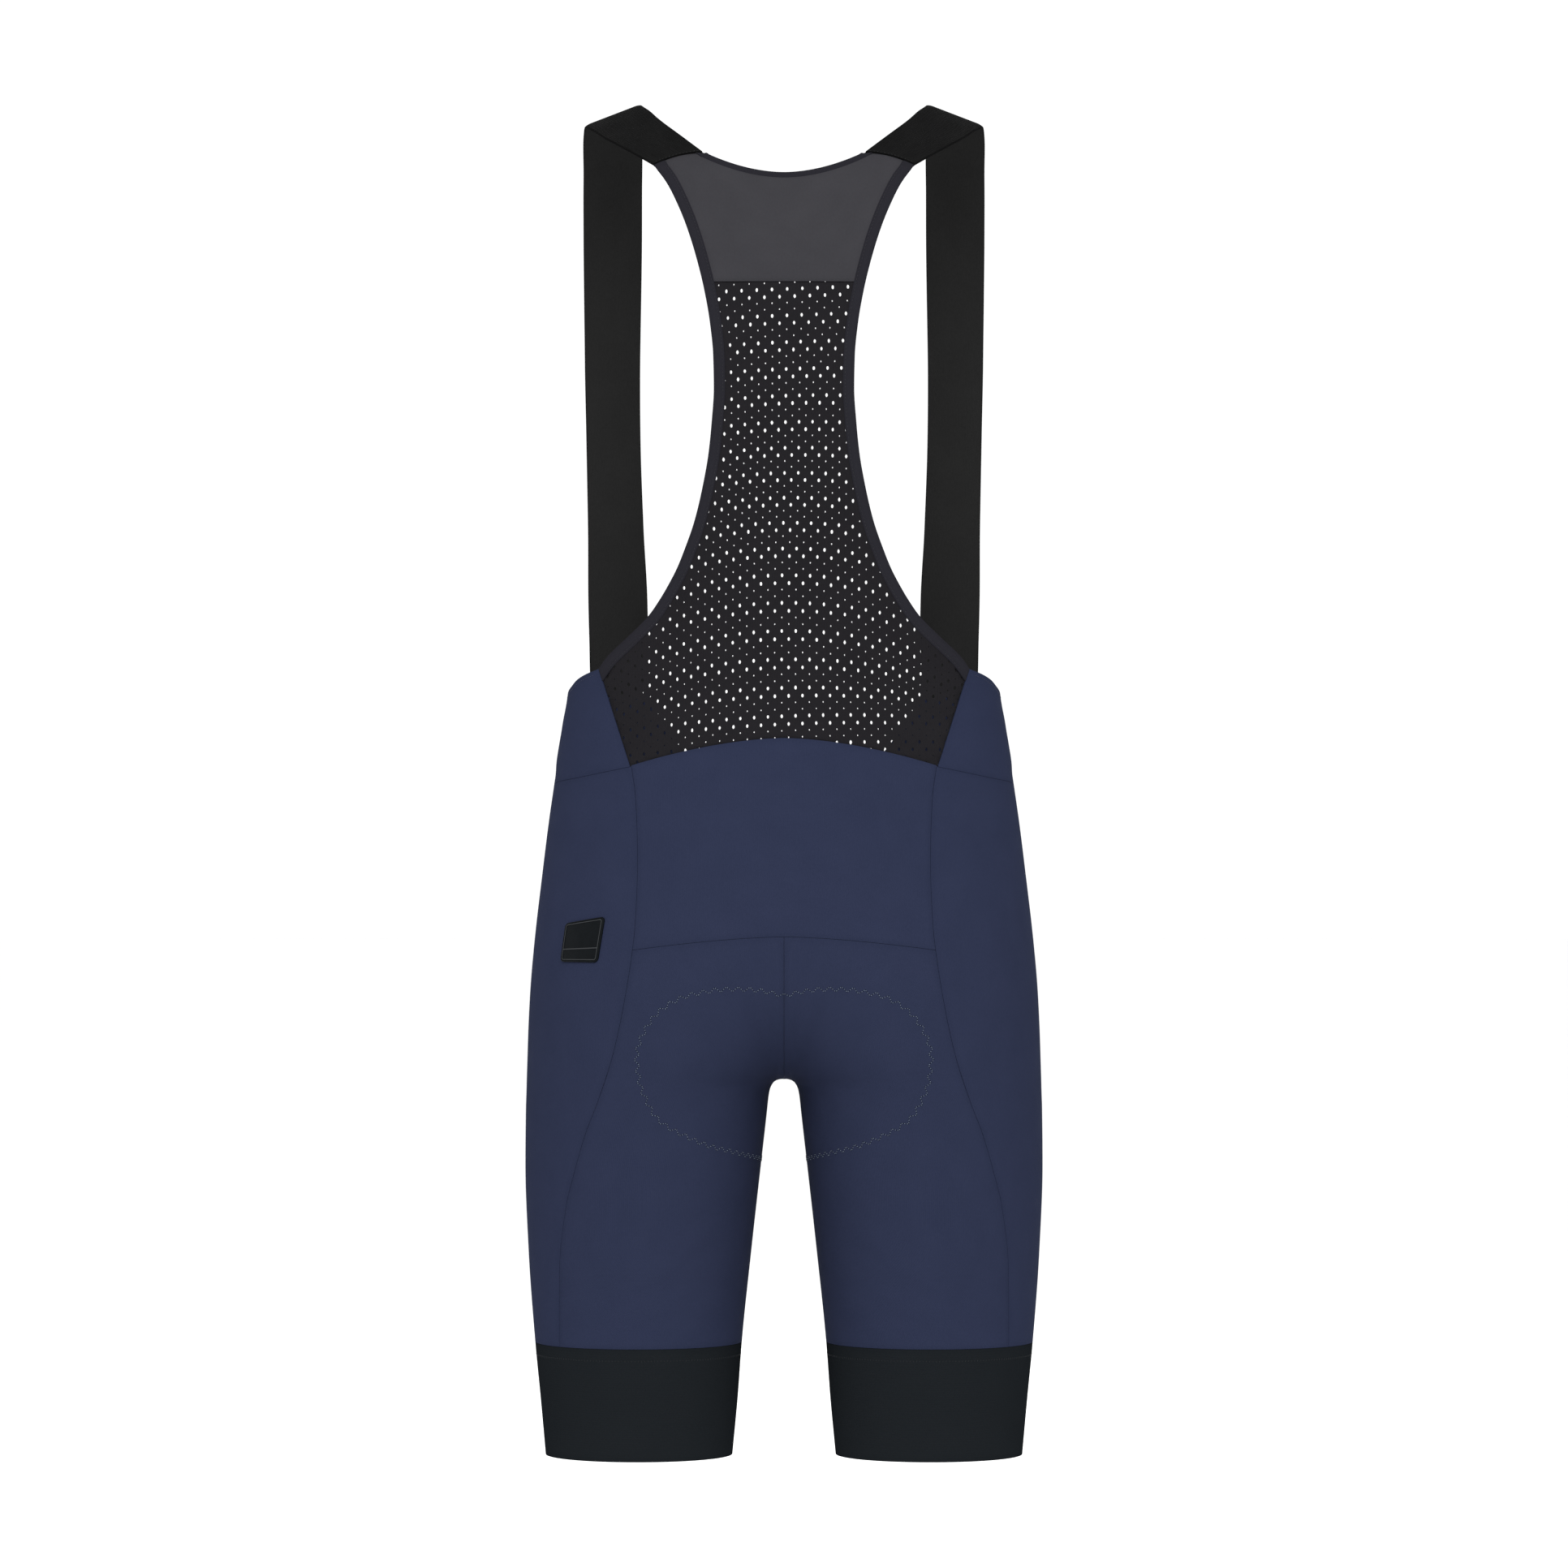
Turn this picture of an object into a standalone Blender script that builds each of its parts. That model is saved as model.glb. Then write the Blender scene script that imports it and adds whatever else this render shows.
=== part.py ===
"""Cycling bib shorts, in the hollow form that they take when worn, with no wearer inside.

Frame: metres, +Z up, -Y the wearer's front and +X the wearer's left. The origin lies midway between
the shoulders, level with the tops of the two straps where they cross the shoulders.

Every panel is cut from one smooth body form, as a thin wall of cloth, and meets its neighbours at
seams. The sizes below are millimetres, and MM turns them into Blender's metres.
"""

import math
from collections import namedtuple

import bmesh
import bpy
from mathutils import Vector

MM = 0.001

# Cloth and seams
CLOTH = 1.2
STRAP_CLOTH = 1.6
BINDING_CLOTH = 2.0
BINDING_PROUD = 0.4
SEAM_GAP = 0.3
HALF_GAP = SEAM_GAP / 2
SEAM_STEPS = 4
SEAM_EASE = 6
SHARP_EDGE_DEGREES = 40

# Heights
HEM = -906.3
BAND_TOP = -830.0
WAIST_SEAM_CENTRE = -422.0
WAIST_SEAM_DROP = 18.5
WAIST_SEAM_POWER = 1.7
SEAT_SEAM_CENTRE = -553.6
SEAT_SEAM_DROP = 8.0
SEAT_SEAM_POWER = 1.6
SEAT_SEAM_SIDE = -561.0
NECK_CENTRE = -44.9
NECK_RISE = 15.2
NECK_POWER = 1.9

# Widths
ARMHOLE_BINDING = 7.7
NECK_BINDING = 4.0
WAIST_SEAM_HALF = 103.0
SEAT_SEAM_HALF = 94.0

# The body form. Each row is a level: how far out the leg or hip reaches, how far in (negative past
# the centre plane, where the two sides merge), the front and back, and how square each of them is.
Section = namedtuple("Section", "z outer inner front back front_square back_square")
BODY_FORM = [
    Section(-906.3, 161.4, 34.9, -57.0, 61.0, 2.05, 2.05),
    Section(-868.0, 164.8, 31.3, -60.5, 66.0, 2.05, 2.05),
    Section(-830.0, 168.4, 28.5, -64.0, 72.0, 2.05, 2.05),
    Section(-770.0, 172.7, 22.3, -71.0, 82.0, 2.05, 2.05),
    Section(-710.0, 174.9, 15.6, -78.0, 92.0, 2.05, 2.05),
    Section(-671.0, 174.5, 11.2, -83.0, 99.0, 2.05, 2.05),
    Section(-662.0, 174.2, 10.3, -84.5, 101.0, 2.05, 2.05),
    Section(-655.6, 174.0, 8.8, -85.5, 102.5, 2.05, 2.05),
    Section(-651.2, 173.9, 5.8, -86.0, 103.5, 2.05, 2.05),
    Section(-640.0, 173.5, -6.0, -87.5, 107.0, 2.07, 2.07),
    Section(-620.0, 172.8, -25.0, -90.0, 113.0, 2.10, 2.10),
    Section(-590.0, 171.2, -50.0, -92.5, 119.5, 2.15, 2.15),
    Section(-555.0, 168.1, -80.0, -95.0, 121.0, 2.20, 2.20),
    Section(-515.0, 163.6, -115.0, -97.0, 113.5, 2.30, 2.20),
    Section(-480.0, 159.5, -142.0, -99.0, 102.0, 2.45, 2.20),
    Section(-445.0, 154.7, -154.7, -100.0, 91.0, 2.60, 2.20),
    Section(-415.0, 150.8, -150.8, -101.0, 84.0, 2.75, 2.20),
    Section(-387.0, 146.5, -146.5, -101.0, 80.0, 2.80, 2.20),
    Section(-340.0, 145.5, -145.5, -102.0, 78.5, 2.80, 2.20),
    Section(-290.0, 147.0, -147.0, -103.0, 81.0, 2.60, 2.20),
    Section(-240.0, 151.0, -151.0, -105.0, 87.5, 2.40, 2.20),
    Section(-190.0, 157.0, -157.0, -107.0, 93.5, 2.30, 2.20),
    Section(-140.0, 165.0, -165.0, -107.0, 97.0, 2.20, 2.20),
    Section(-110.0, 174.0, -174.0, -104.0, 96.5, 2.20, 2.20),
    Section(-80.0, 183.0, -183.0, -97.0, 91.5, 2.20, 2.20),
    Section(-60.0, 188.0, -188.0, -88.0, 84.5, 2.20, 2.20),
    Section(-44.0, 191.0, -191.0, -76.0, 75.5, 2.20, 2.20),
    Section(-30.0, 193.0, -193.0, -62.0, 63.0, 2.20, 2.20),
    Section(-20.0, 194.0, -194.0, -50.0, 50.0, 2.20, 2.20),
]
CROTCH_FILLET = 22.0
MERGED_CENTRE = 60.0
CROTCH_NEAR = -640.0
CROTCH_SPAN = 20.0
BEYOND_SKIN = 240.0
TINY = 1e-9
HALVINGS = 36

# The seam down each side, at the same distance from the centre plane in front and at the back.
SeamPoint = namedtuple("SeamPoint", "z x")
SIDE_SEAM = [
    SeamPoint(-830.0, 150.7),
    SeamPoint(-776.0, 150.1),
    SeamPoint(-734.0, 145.3),
    SeamPoint(-711.0, 139.6),
    SeamPoint(-687.0, 132.6),
    SeamPoint(-662.0, 123.1),
    SeamPoint(-635.0, 114.2),
    SeamPoint(-607.0, 107.6),
    SeamPoint(-566.0, 100.7),
    SeamPoint(-547.0, 98.6),
    SeamPoint(-511.0, 97.2),
    SeamPoint(-489.0, 97.5),
    SeamPoint(-461.0, 99.0),
    SeamPoint(-440.0, 102.0),
]

# The armhole's cut edge on the back, from the strap down to the hip.
ARMHOLE = [
    SeamPoint(-375.4, 124.7),
    SeamPoint(-367.8, 119.2),
    SeamPoint(-355.2, 105.8),
    SeamPoint(-341.0, 91.3),
    SeamPoint(-330.3, 83.6),
    SeamPoint(-319.6, 77.2),
    SeamPoint(-308.9, 71.6),
    SeamPoint(-298.3, 67.2),
    SeamPoint(-276.8, 59.6),
    SeamPoint(-253.9, 54.1),
    SeamPoint(-232.6, 50.3),
    SeamPoint(-211.3, 48.1),
    SeamPoint(-189.8, 46.7),
    SeamPoint(-168.5, 47.1),
    SeamPoint(-146.9, 49.2),
    SeamPoint(-125.4, 52.9),
    SeamPoint(-103.5, 58.2),
    SeamPoint(-81.6, 65.0),
    SeamPoint(-59.3, 74.3),
    SeamPoint(-50.2, 79.2),
    SeamPoint(-38.7, 87.5),
]
STRAP_SEAM_NECK = (54.4, -29.7)
STRAP_SEAM_ARM = (87.5, -38.7)
STRAP_SEAM_ARCH = 2.0
STRAP_EASE = 45.0
HIP_CORNER_TOP = (124.7, -375.4)
HIP_CORNER_LOW = (103.0, -440.3)

# The front waist piece, from the centre front (-90 degrees) round the side (0) to the back.
WaistPoint = namedtuple("WaistPoint", "degrees top seam")
FRONT_WAIST = [
    WaistPoint(-90.0, -454.0, -470.0),
    WaistPoint(-84.0, -453.7, -470.0),
    WaistPoint(-76.0, -452.4, -469.6),
    WaistPoint(-68.0, -449.8, -468.9),
    WaistPoint(-60.0, -443.8, -468.0),
    WaistPoint(-52.0, -430.0, -466.8),
    WaistPoint(-46.0, -412.0, -465.5),
    WaistPoint(-42.0, -399.5, -464.5),
    WaistPoint(-38.6, -393.8, -463.7),
    WaistPoint(-34.0, -393.1, -462.7),
    WaistPoint(-25.0, -393.0, -460.5),
    WaistPoint(0.0, -391.3, -453.5),
    WaistPoint(8.0, -387.0, -451.5),
    WaistPoint(12.7, -382.3, -450.3),
    WaistPoint(17.7, -378.5, -449.0),
    WaistPoint(22.6, -375.4, -447.2),
    WaistPoint(37.0, -360.0, -440.8),
]
STRAP_FOOT_DEGREES = (-38.6, -22.8)

# The centre line of a strap's outer face, from its foot at the front to its seam on the back. Slope
# is how far the outer edge drops across the strap, and turn is how far that edge swings back.
StrapPoint = namedtuple("StrapPoint", "x y z slope turn width")
STRAP = [
    StrapPoint(114.3, -79.0, -392.5, 0.0, 32.0, 42.0),
    StrapPoint(114.4, -87.5, -363.0, 0.0, 20.0, 42.0),
    StrapPoint(115.0, -95.0, -325.0, 0.0, 12.0, 40.7),
    StrapPoint(116.6, -102.0, -275.0, 0.0, 9.0, 37.8),
    StrapPoint(118.2, -107.5, -215.0, 0.0, 8.0, 36.8),
    StrapPoint(118.9, -109.5, -160.0, 0.0, 7.0, 37.4),
    StrapPoint(118.9, -106.0, -112.0, 1.0, 7.0, 39.0),
    StrapPoint(118.8, -96.0, -76.0, 4.0, 7.0, 40.0),
    StrapPoint(118.4, -78.5, -48.0, 8.0, 6.0, 40.0),
    StrapPoint(117.8, -55.0, -26.8, 13.0, 5.0, 40.0),
    StrapPoint(117.2, -30.0, -10.8, 17.5, 3.0, 40.0),
    StrapPoint(116.3, -11.0, -1.6, 20.5, 1.0, 40.0),
    StrapPoint(115.5, 0.0, 0.9, 21.0, 0.0, 40.0),
    StrapPoint(112.0, 10.5, -2.2, 20.5, 1.0, 40.0),
    StrapPoint(103.5, 26.0, -10.2, 17.5, 4.0, 40.0),
    StrapPoint(92.0, 42.0, -18.9, 15.0, 7.0, 39.0),
    StrapPoint(80.2, 55.0, -27.5, 14.5, 10.0, 37.0),
    StrapPoint(71.0, 63.5, -34.2, 15.0, 11.0, 35.0),
]

# The badge on the left hip, and the pad inside the seat
BadgeCorner = namedtuple("BadgeCorner", "across up")
BADGE_LOW = (BadgeCorner(-20.4, -14.8), BadgeCorner(13.8, -14.7))
BADGE_HIGH = (BadgeCorner(-14.5, 10.7), BadgeCorner(18.8, 15.7))
BADGE_CORNER_CUT = 0.03
BADGE_THICK = 1.2
BADGE_FROM_CENTRE = 134.0
BADGE_LEVEL = -556.3
BADGE_TURN = 118.7
PAD_THICK = 7.0
PAD_CLEAR = 2.0
# Half the pad's breadth at each level of the seat, then of the front, from the inner thigh up.
PadEdge = namedtuple("PadEdge", "z back front")
PAD_EDGE = [
    PadEdge(-706.0, 40.0, 34.0),
    PadEdge(-699.0, 51.0, 37.0),
    PadEdge(-685.0, 79.0, 43.0),
    PadEdge(-672.0, 90.0, 47.0),
    PadEdge(-654.0, 97.5, 50.0),
    PadEdge(-636.0, 99.5, 50.0),
    PadEdge(-616.0, 94.0, 46.0),
    PadEdge(-602.0, 79.0, 38.0),
    PadEdge(-592.0, 54.0, 26.0),
]

# Columns and rows of each panel's grid
SEAT_ROWS = 21
WAIST_ROWS = 6
SIDE_ROWS = SEAT_ROWS + WAIST_ROWS
LEG_COLUMNS = 8
COLUMN_CROWDING = 1.3
SIDE_COLUMNS = 8
BAND_COLUMNS = 28
BAND_ROWS = 3
FRONT_WAIST_ROWS = 4
BACK_COLUMNS = 16
YOKE_ROWS = 5
MESH_ROWS = 14
YOKE_SHARE = 0.2433
FINE_STEPS = 600
STRAP_COLUMNS = 4
ROWS_A_STRAP_POINT = 2
NECK_COLUMNS = 6
STRAP_SEAM_COLUMNS = 2
BADGE_COLUMNS = 8
BADGE_ROWS = 6
PAD_COLUMNS = 6

# How far below and above the crotch the rows of a leg panel's inner edge lie: closer where it turns.
BELOW_CROTCH = [151, 124, 97, 71, 48, 30, 17, 9.2, 4.6, 1.8, 0.4, 0]
ABOVE_CROTCH_BACK = [0.4, 1.8, 4, 9, 18, 32, 50, 73]
ABOVE_CROTCH_FRONT = [0.4, 1.8, 4, 9, 18, 31, 46, 63, 81, 99, 116, 133, 149, 165]
PAD_BELOW_CROTCH = [55, 43, 30, 17, 9.2, 4.6, 1.8, 0.4, 0]
PAD_ABOVE_CROTCH = [0.4, 1.8, 4, 9, 18, 31, 45, 58.8]

# Colours: base colour and roughness
NAVY = ((0.026, 0.032, 0.078), 0.62)
BLACK_ELASTIC = ((0.010, 0.010, 0.010), 0.75)
BLACK_BAND = ((0.012, 0.013, 0.015), 0.60)
GREY_YOKE = ((0.048, 0.048, 0.053), 0.70)
BLACK_MESH = ((0.012, 0.011, 0.014), 0.75)
BADGE_RUBBER = ((0.008, 0.009, 0.010), 0.45)
PAD_FOAM = ((0.03, 0.03, 0.035), 0.85)


def mix(a, b, share):
    return a + (b - a) * share


def curve_through(places, values):
    """A smooth curve through a table's values that never overshoots between two of them."""
    steps = [(values[i + 1] - values[i]) / (places[i + 1] - places[i]) for i in range(len(values) - 1)]
    slopes = [steps[0]]
    for before, after in zip(steps, steps[1:]):
        slopes.append(0.0 if before * after <= 0 else 2 * before * after / (before + after))
    slopes.append(steps[-1])

    def at(place):
        place = min(max(place, places[0]), places[-1])
        i = 0
        while i < len(places) - 2 and place > places[i + 1]:
            i += 1
        width = places[i + 1] - places[i]
        s = (place - places[i]) / width
        start, end = values[i], values[i + 1]
        lean_start, lean_end = slopes[i] * width, slopes[i + 1] * width
        return (
            start * (1 + 2 * s) * (1 - s) ** 2
            + lean_start * s * (1 - s) ** 2
            + end * s * s * (3 - 2 * s)
            + lean_end * s * s * (s - 1)
        )

    return at


def table_curve(table, column, by="z"):
    return curve_through([getattr(row, by) for row in table], [getattr(row, column) for row in table])


FORM = {column: table_curve(BODY_FORM, column) for column in Section._fields[1:]}
side_seam_x = table_curve(SIDE_SEAM, "x")
armhole_x = table_curve(ARMHOLE, "x")
waist_top = table_curve(FRONT_WAIST, "top", by="degrees")
waist_seam = table_curve(FRONT_WAIST, "seam", by="degrees")


# The body form


def section(z):
    return Section(z, *(FORM[column](z) for column in Section._fields[1:]))


def centre_of(s):
    return (s.outer + s.inner) / 2, (s.front + s.back) / 2


def distance_out(x, y, s):
    """How far a point lies outside one side's oval, along the line from the oval's centre."""
    centre_x, centre_y = centre_of(s)
    dx, dy = x - centre_x, y - centre_y
    square = s.front_square if dy < 0 else s.back_square
    reach = (
        abs(dx / (s.outer - s.inner) * 2) ** square + abs(dy / (s.back - s.front) * 2) ** square
    ) ** (1 / square)
    length = math.hypot(dx, dy)
    return length - length / max(reach, TINY)


def outside(x, y, s):
    """Negative inside the two sides' merged ovals, positive outside, with a fillet between them."""
    left, right = distance_out(x, y, s), distance_out(-x, y, s)
    fillet = CROTCH_FILLET * min(1.0, max(0.0, centre_of(s)[0] / MERGED_CENTRE))
    nearer = min(left, right)
    if fillet < TINY:
        return nearer
    return nearer - max(fillet - abs(left - right), 0.0) ** 2 / (4 * fillet)


def crossing(inside_at, near, far):
    """Where a value turns from inside to outside between two distances."""
    for _ in range(HALVINGS):
        middle = (near + far) / 2
        if inside_at(middle) < 0:
            near = middle
        else:
            far = middle
    return (near + far) / 2


def skin(angle, z):
    """The point of the left half's skin at an angle round its own centre: 0 outwards, positive back."""
    s = section(z)
    centre_x, centre_y = centre_of(s)
    along_x, along_y = math.cos(angle), math.sin(angle)
    far = BEYOND_SKIN if along_x > -TINY else min(BEYOND_SKIN, centre_x / -along_x)
    reach = crossing(lambda r: outside(centre_x + r * along_x, centre_y + r * along_y, s), 0.0, far)
    return Vector((centre_x + reach * along_x, centre_y + reach * along_y, z))


def skin_at(x, z, side):
    """The point of the skin at a distance from the centre plane: side 1 on the back, -1 in front."""
    s = section(z)
    centre_y = centre_of(s)[1]
    reach = crossing(lambda r: outside(abs(x), centre_y + side * r, s), 0.0, BEYOND_SKIN)
    return Vector((x, centre_y + side * reach, z))


def angle_at(x, z, side):
    centre_x, centre_y = centre_of(section(z))
    point = skin_at(x, z, side)
    return math.atan2(point.y - centre_y, point.x - centre_x)


def centre_angle(z, side):
    """Where a half ends: at the centre plane above the crotch, at the inner leg seam below it."""
    s = section(z)
    centre_x, centre_y = centre_of(s)
    if outside(HALF_GAP, centre_y, s) < 0:
        return angle_at(HALF_GAP, z, side)
    return side * (math.pi - HALF_GAP / (centre_x - s.inner))


def crotch_level():
    """The height at which the two legs meet."""

    def inside_at(drop):
        s = section(CROTCH_NEAR - drop)
        return outside(HALF_GAP, centre_of(s)[1], s)

    return CROTCH_NEAR - crossing(inside_at, 0.0, CROTCH_SPAN)


def outward(point):
    """The skin's outward direction at a point, from how the body form changes round it."""
    step = 0.25
    x, y, z = point
    here = section(z)
    lean = Vector(
        (
            outside(x + step, y, here) - outside(x - step, y, here),
            outside(x, y + step, here) - outside(x, y - step, here),
            outside(x, y, section(z + step)) - outside(x, y, section(z - step)),
        )
    )
    return lean.normalized()


# Cloth


def material(name, look):
    colour, roughness = look
    made = bpy.data.materials.new(name)
    made.use_nodes = True
    shader = made.node_tree.nodes["Principled BSDF"]
    shader.inputs["Base Color"].default_value = (*colour, 1.0)
    shader.inputs["Roughness"].default_value = roughness
    shader.inputs["Metallic"].default_value = 0.0
    return made


def finish(bm, name, look):
    """Makes the named object from a closed mesh in millimetres."""
    bmesh.ops.recalc_face_normals(bm, faces=bm.faces)
    bmesh.ops.scale(bm, vec=(MM, MM, MM), verts=bm.verts)
    mesh = bpy.data.meshes.new(name)
    bm.to_mesh(mesh)
    bm.free()
    mesh.shade_smooth()
    mesh.set_sharp_from_angle(angle=math.radians(SHARP_EDGE_DEGREES))
    mesh.materials.append(look)
    made = bpy.data.objects.new(name, mesh)
    bpy.context.scene.collection.objects.link(made)
    return made


def sheet(columns, rows, place):
    """A grid of cloth whose corners are put at place(u, v): u runs across and v up, from 0 to 1."""
    bm = bmesh.new()
    bmesh.ops.create_grid(bm, x_segments=columns, y_segments=rows, size=0.5)
    for vertex in bm.verts:
        vertex.co = place(vertex.co.x + 0.5, vertex.co.y + 0.5)
    return bm


def thicken(bm, thick, direction=outward, proud=0.0):
    """Gives a sheet its wall: the outer face proud of the skin, and the inner face moved inwards."""
    sheet_geometry = bm.verts[:] + bm.edges[:] + bm.faces[:]
    outer = bm.verts[:]
    made = bmesh.ops.extrude_face_region(bm, geom=sheet_geometry, use_keep_orig=True)
    inner = [item for item in made["geom"] if isinstance(item, bmesh.types.BMVert)]
    for vertex in inner:
        vertex.co -= (thick - proud) * direction(vertex.co)
    for vertex in outer:
        if proud:
            vertex.co += proud * direction(vertex.co)
    return bm


def keep_left_of_centre(bm):
    for vertex in bm.verts:
        vertex.co.x = max(vertex.co.x, HALF_GAP)


def mirrored(bm):
    other = bm.copy()
    bmesh.ops.scale(other, vec=(-1, 1, 1), verts=other.verts)
    return other


def pair(name, bm, look):
    """The left piece and its mirrored right one."""
    right = mirrored(bm)
    finish(bm, name + "_left", look)
    finish(right, name + "_right", look)


# Seams that are curves across the back


def waist_seam_z(x):
    return WAIST_SEAM_CENTRE - WAIST_SEAM_DROP * (abs(x) / WAIST_SEAM_HALF) ** WAIST_SEAM_POWER


def seat_seam_z(x):
    return SEAT_SEAM_CENTRE - SEAT_SEAM_DROP * (abs(x) / SEAT_SEAM_HALF) ** SEAT_SEAM_POWER


def neck_z(x):
    return NECK_CENTRE + NECK_RISE * (abs(x) / STRAP_SEAM_NECK[0]) ** NECK_POWER


def toward_centre(u):
    """A share across a leg panel, with the columns closer together near the centre."""
    return 1 - (1 - u) ** COLUMN_CROWDING


def leg_angle(u, z, side):
    """The angle at a share from the side seam (0) to the centre or the inner leg (1)."""
    return mix(angle_at(side_seam_x(z) - HALF_GAP, z, side), centre_angle(z, side), toward_centre(u))


def leg_panel(side, inner_levels, side_levels, top_of):
    """A front or seat panel of the left leg: from its side seam (u = 0) to the centre (u = 1)."""
    rows = len(inner_levels) - 1

    def place(u, v):
        row = round(v * rows)
        level = mix(side_levels[row], inner_levels[row], u * u)
        short_of_seam = top_of(u) - mix(side_levels[-1], inner_levels[-1], u * u)
        z = level + short_of_seam * (row / rows) ** SEAM_EASE
        return skin(leg_angle(u, z, side), z)

    bm = sheet(LEG_COLUMNS, rows, place)
    thicken(bm, CLOTH)
    keep_left_of_centre(bm)
    return bm


def spaced(low, high, count):
    return [mix(low, high, i / count) for i in range(count + 1)]


SEAT_CORNER = seat_seam_z(side_seam_x(SEAT_SEAM_SIDE))
SIDE_BACK_LEVELS = (
    spaced(BAND_TOP + HALF_GAP, SEAT_CORNER, SEAT_ROWS)[:-1]
    + spaced(SEAT_CORNER, HIP_CORNER_LOW[1], WAIST_ROWS)
)


def side_front_top():
    """Where the front side seam ends, at the seam below the front waist piece."""
    z = HIP_CORNER_LOW[1]
    for _ in range(2 * SEAM_STEPS):
        z = waist_seam(math.degrees(angle_at(side_seam_x(z), z, -1)))
    return z


CROTCH = crotch_level()
SIDE_FRONT_LEVELS = spaced(BAND_TOP + HALF_GAP, side_front_top() - HALF_GAP, SIDE_ROWS)


def centre_levels(above, top):
    """The heights of a leg panel's rows along its inner edge."""
    below = [CROTCH - drop for drop in BELOW_CROTCH]
    return [BAND_TOP + HALF_GAP] + below + [CROTCH + rise for rise in above] + [top]


def seat_top(u):
    z = SEAT_SEAM_CENTRE
    for _ in range(SEAM_STEPS):
        z = seat_seam_z(skin(leg_angle(u, z, 1), z).x)
    return z


def front_top(u):
    z = SIDE_FRONT_LEVELS[-1]
    for _ in range(SEAM_STEPS):
        z = waist_seam(math.degrees(leg_angle(u, z, -1)))
    return z


def seat_panels(look):
    side_levels = SIDE_BACK_LEVELS[: SEAT_ROWS + 1]
    levels = centre_levels(ABOVE_CROTCH_BACK, seat_top(1.0))
    pair("seat", leg_panel(1, levels, side_levels, lambda u: seat_top(u) - HALF_GAP), look)


def front_panels(look):
    levels = centre_levels(ABOVE_CROTCH_FRONT, front_top(1.0))
    pair("front", leg_panel(-1, levels, SIDE_FRONT_LEVELS, lambda u: front_top(u) - HALF_GAP), look)


def side_angle(u, z):
    """The angle at a share from the side-back seam (0) to the side-front one (1)."""
    x = side_seam_x(z) + HALF_GAP
    return mix(angle_at(x, z, 1), angle_at(x, z, -1), u)


def side_top(u):
    z = mix(HIP_CORNER_LOW[1], SIDE_FRONT_LEVELS[-1], u)
    for _ in range(SEAM_STEPS):
        z = waist_seam(math.degrees(side_angle(u, z)))
    return z


def side_panels(look):
    """The panel down the outside of each leg, from the side-back seam to the side-front one."""

    def place(u, v):
        row = round(v * SIDE_ROWS)
        z = mix(SIDE_BACK_LEVELS[row], SIDE_FRONT_LEVELS[row], u)
        if row == SIDE_ROWS:
            z = side_top(u) - HALF_GAP
        return skin(side_angle(u, z), z)

    pair("side", thicken(sheet(SIDE_COLUMNS, SIDE_ROWS, place), CLOTH), look)


def leg_bands(look):
    """The elastic band round each leg's hem, one closed ring."""

    def place(u, v):
        return skin(2 * math.pi * u - math.pi, mix(HEM, BAND_TOP - HALF_GAP, v))

    bm = sheet(BAND_COLUMNS, BAND_ROWS, place)
    bmesh.ops.remove_doubles(bm, verts=bm.verts, dist=0.01)
    pair("leg_band", thicken(bm, CLOTH), look)


def hip_edge_x(z):
    """The front waist piece's back edge, where it meets the mesh."""
    (top_x, top_z), (low_x, low_z) = HIP_CORNER_TOP, HIP_CORNER_LOW
    return mix(low_x, top_x, (z - low_z) / (top_z - low_z))


def front_waist(look):
    """The piece round the belly, from the mesh on one side to the mesh on the other."""
    half = LEG_COLUMNS + SIDE_COLUMNS
    seam = []
    for u in spaced(1.0, 0.0, LEG_COLUMNS)[:-1]:
        seam.append(math.degrees(leg_angle(u, front_top(u), -1)))
    for u in spaced(1.0, 0.0, SIDE_COLUMNS)[:-1]:
        seam.append(math.degrees(side_angle(u, side_top(u))))

    def ends(z):
        """The angles of the centre front and of the edge at the mesh."""
        edge = angle_at(hip_edge_x(z) + HALF_GAP, z, 1)
        return math.degrees(angle_at(0.0, z, -1)), math.degrees(edge)

    def share_of(column):
        if column in (0, half):
            return column / half
        centre, edge = ends(waist_seam(seam[column]))[0], ends(HIP_CORNER_LOW[1])[1]
        return (seam[column] - centre) / (edge - centre)

    shares = [share_of(column) for column in range(half + 1)]

    def place(u, v):
        share = shares[round(abs(2 * u - 1) * half)]
        z = mix(HIP_CORNER_LOW[1], HIP_CORNER_TOP[1], v)
        for _ in range(SEAM_STEPS):
            degrees = mix(*ends(z), share)
            z = mix(waist_seam(degrees) + HALF_GAP, waist_top(degrees), v)
        point = skin(math.radians(degrees), z)
        if u < 0.5:
            point.x = -point.x
        return point

    finish(thicken(sheet(2 * half, FRONT_WAIST_ROWS, place), CLOTH, both_sides), "front_waist", look)


def both_sides(point):
    """The outward direction for a piece that crosses the centre plane."""
    lean = outward(Vector((abs(point.x), point.y, point.z)))
    if point.x < 0:
        lean.x = -lean.x
    if abs(point.x) < 0.01:
        lean.x = 0.0
        lean.normalize()
    return lean


def on_back(x, z):
    point = skin_at(abs(x), z, 1)
    point.x = x
    return point


def patch(bottom, top, left, right):
    """Place(u, v) inside four edges that are drawn as (x, z) on the back, and laid on the skin."""

    def place(u, v):
        flat = (
            Vector(left(v)) * (1 - u)
            + Vector(right(v)) * u
            + Vector(bottom(u)) * (1 - v)
            + Vector(top(u)) * v
            - (Vector(left(0)) * (1 - v) + Vector(left(1)) * v) * (1 - u)
            - (Vector(right(0)) * (1 - v) + Vector(right(1)) * v) * u
        )
        return on_back(flat.x, flat.y)

    return place


def flip(edge):
    """The same edge on the other side of the centre plane."""

    def other(v):
        x, z = edge(v)
        return (-x, z)

    return other


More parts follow.
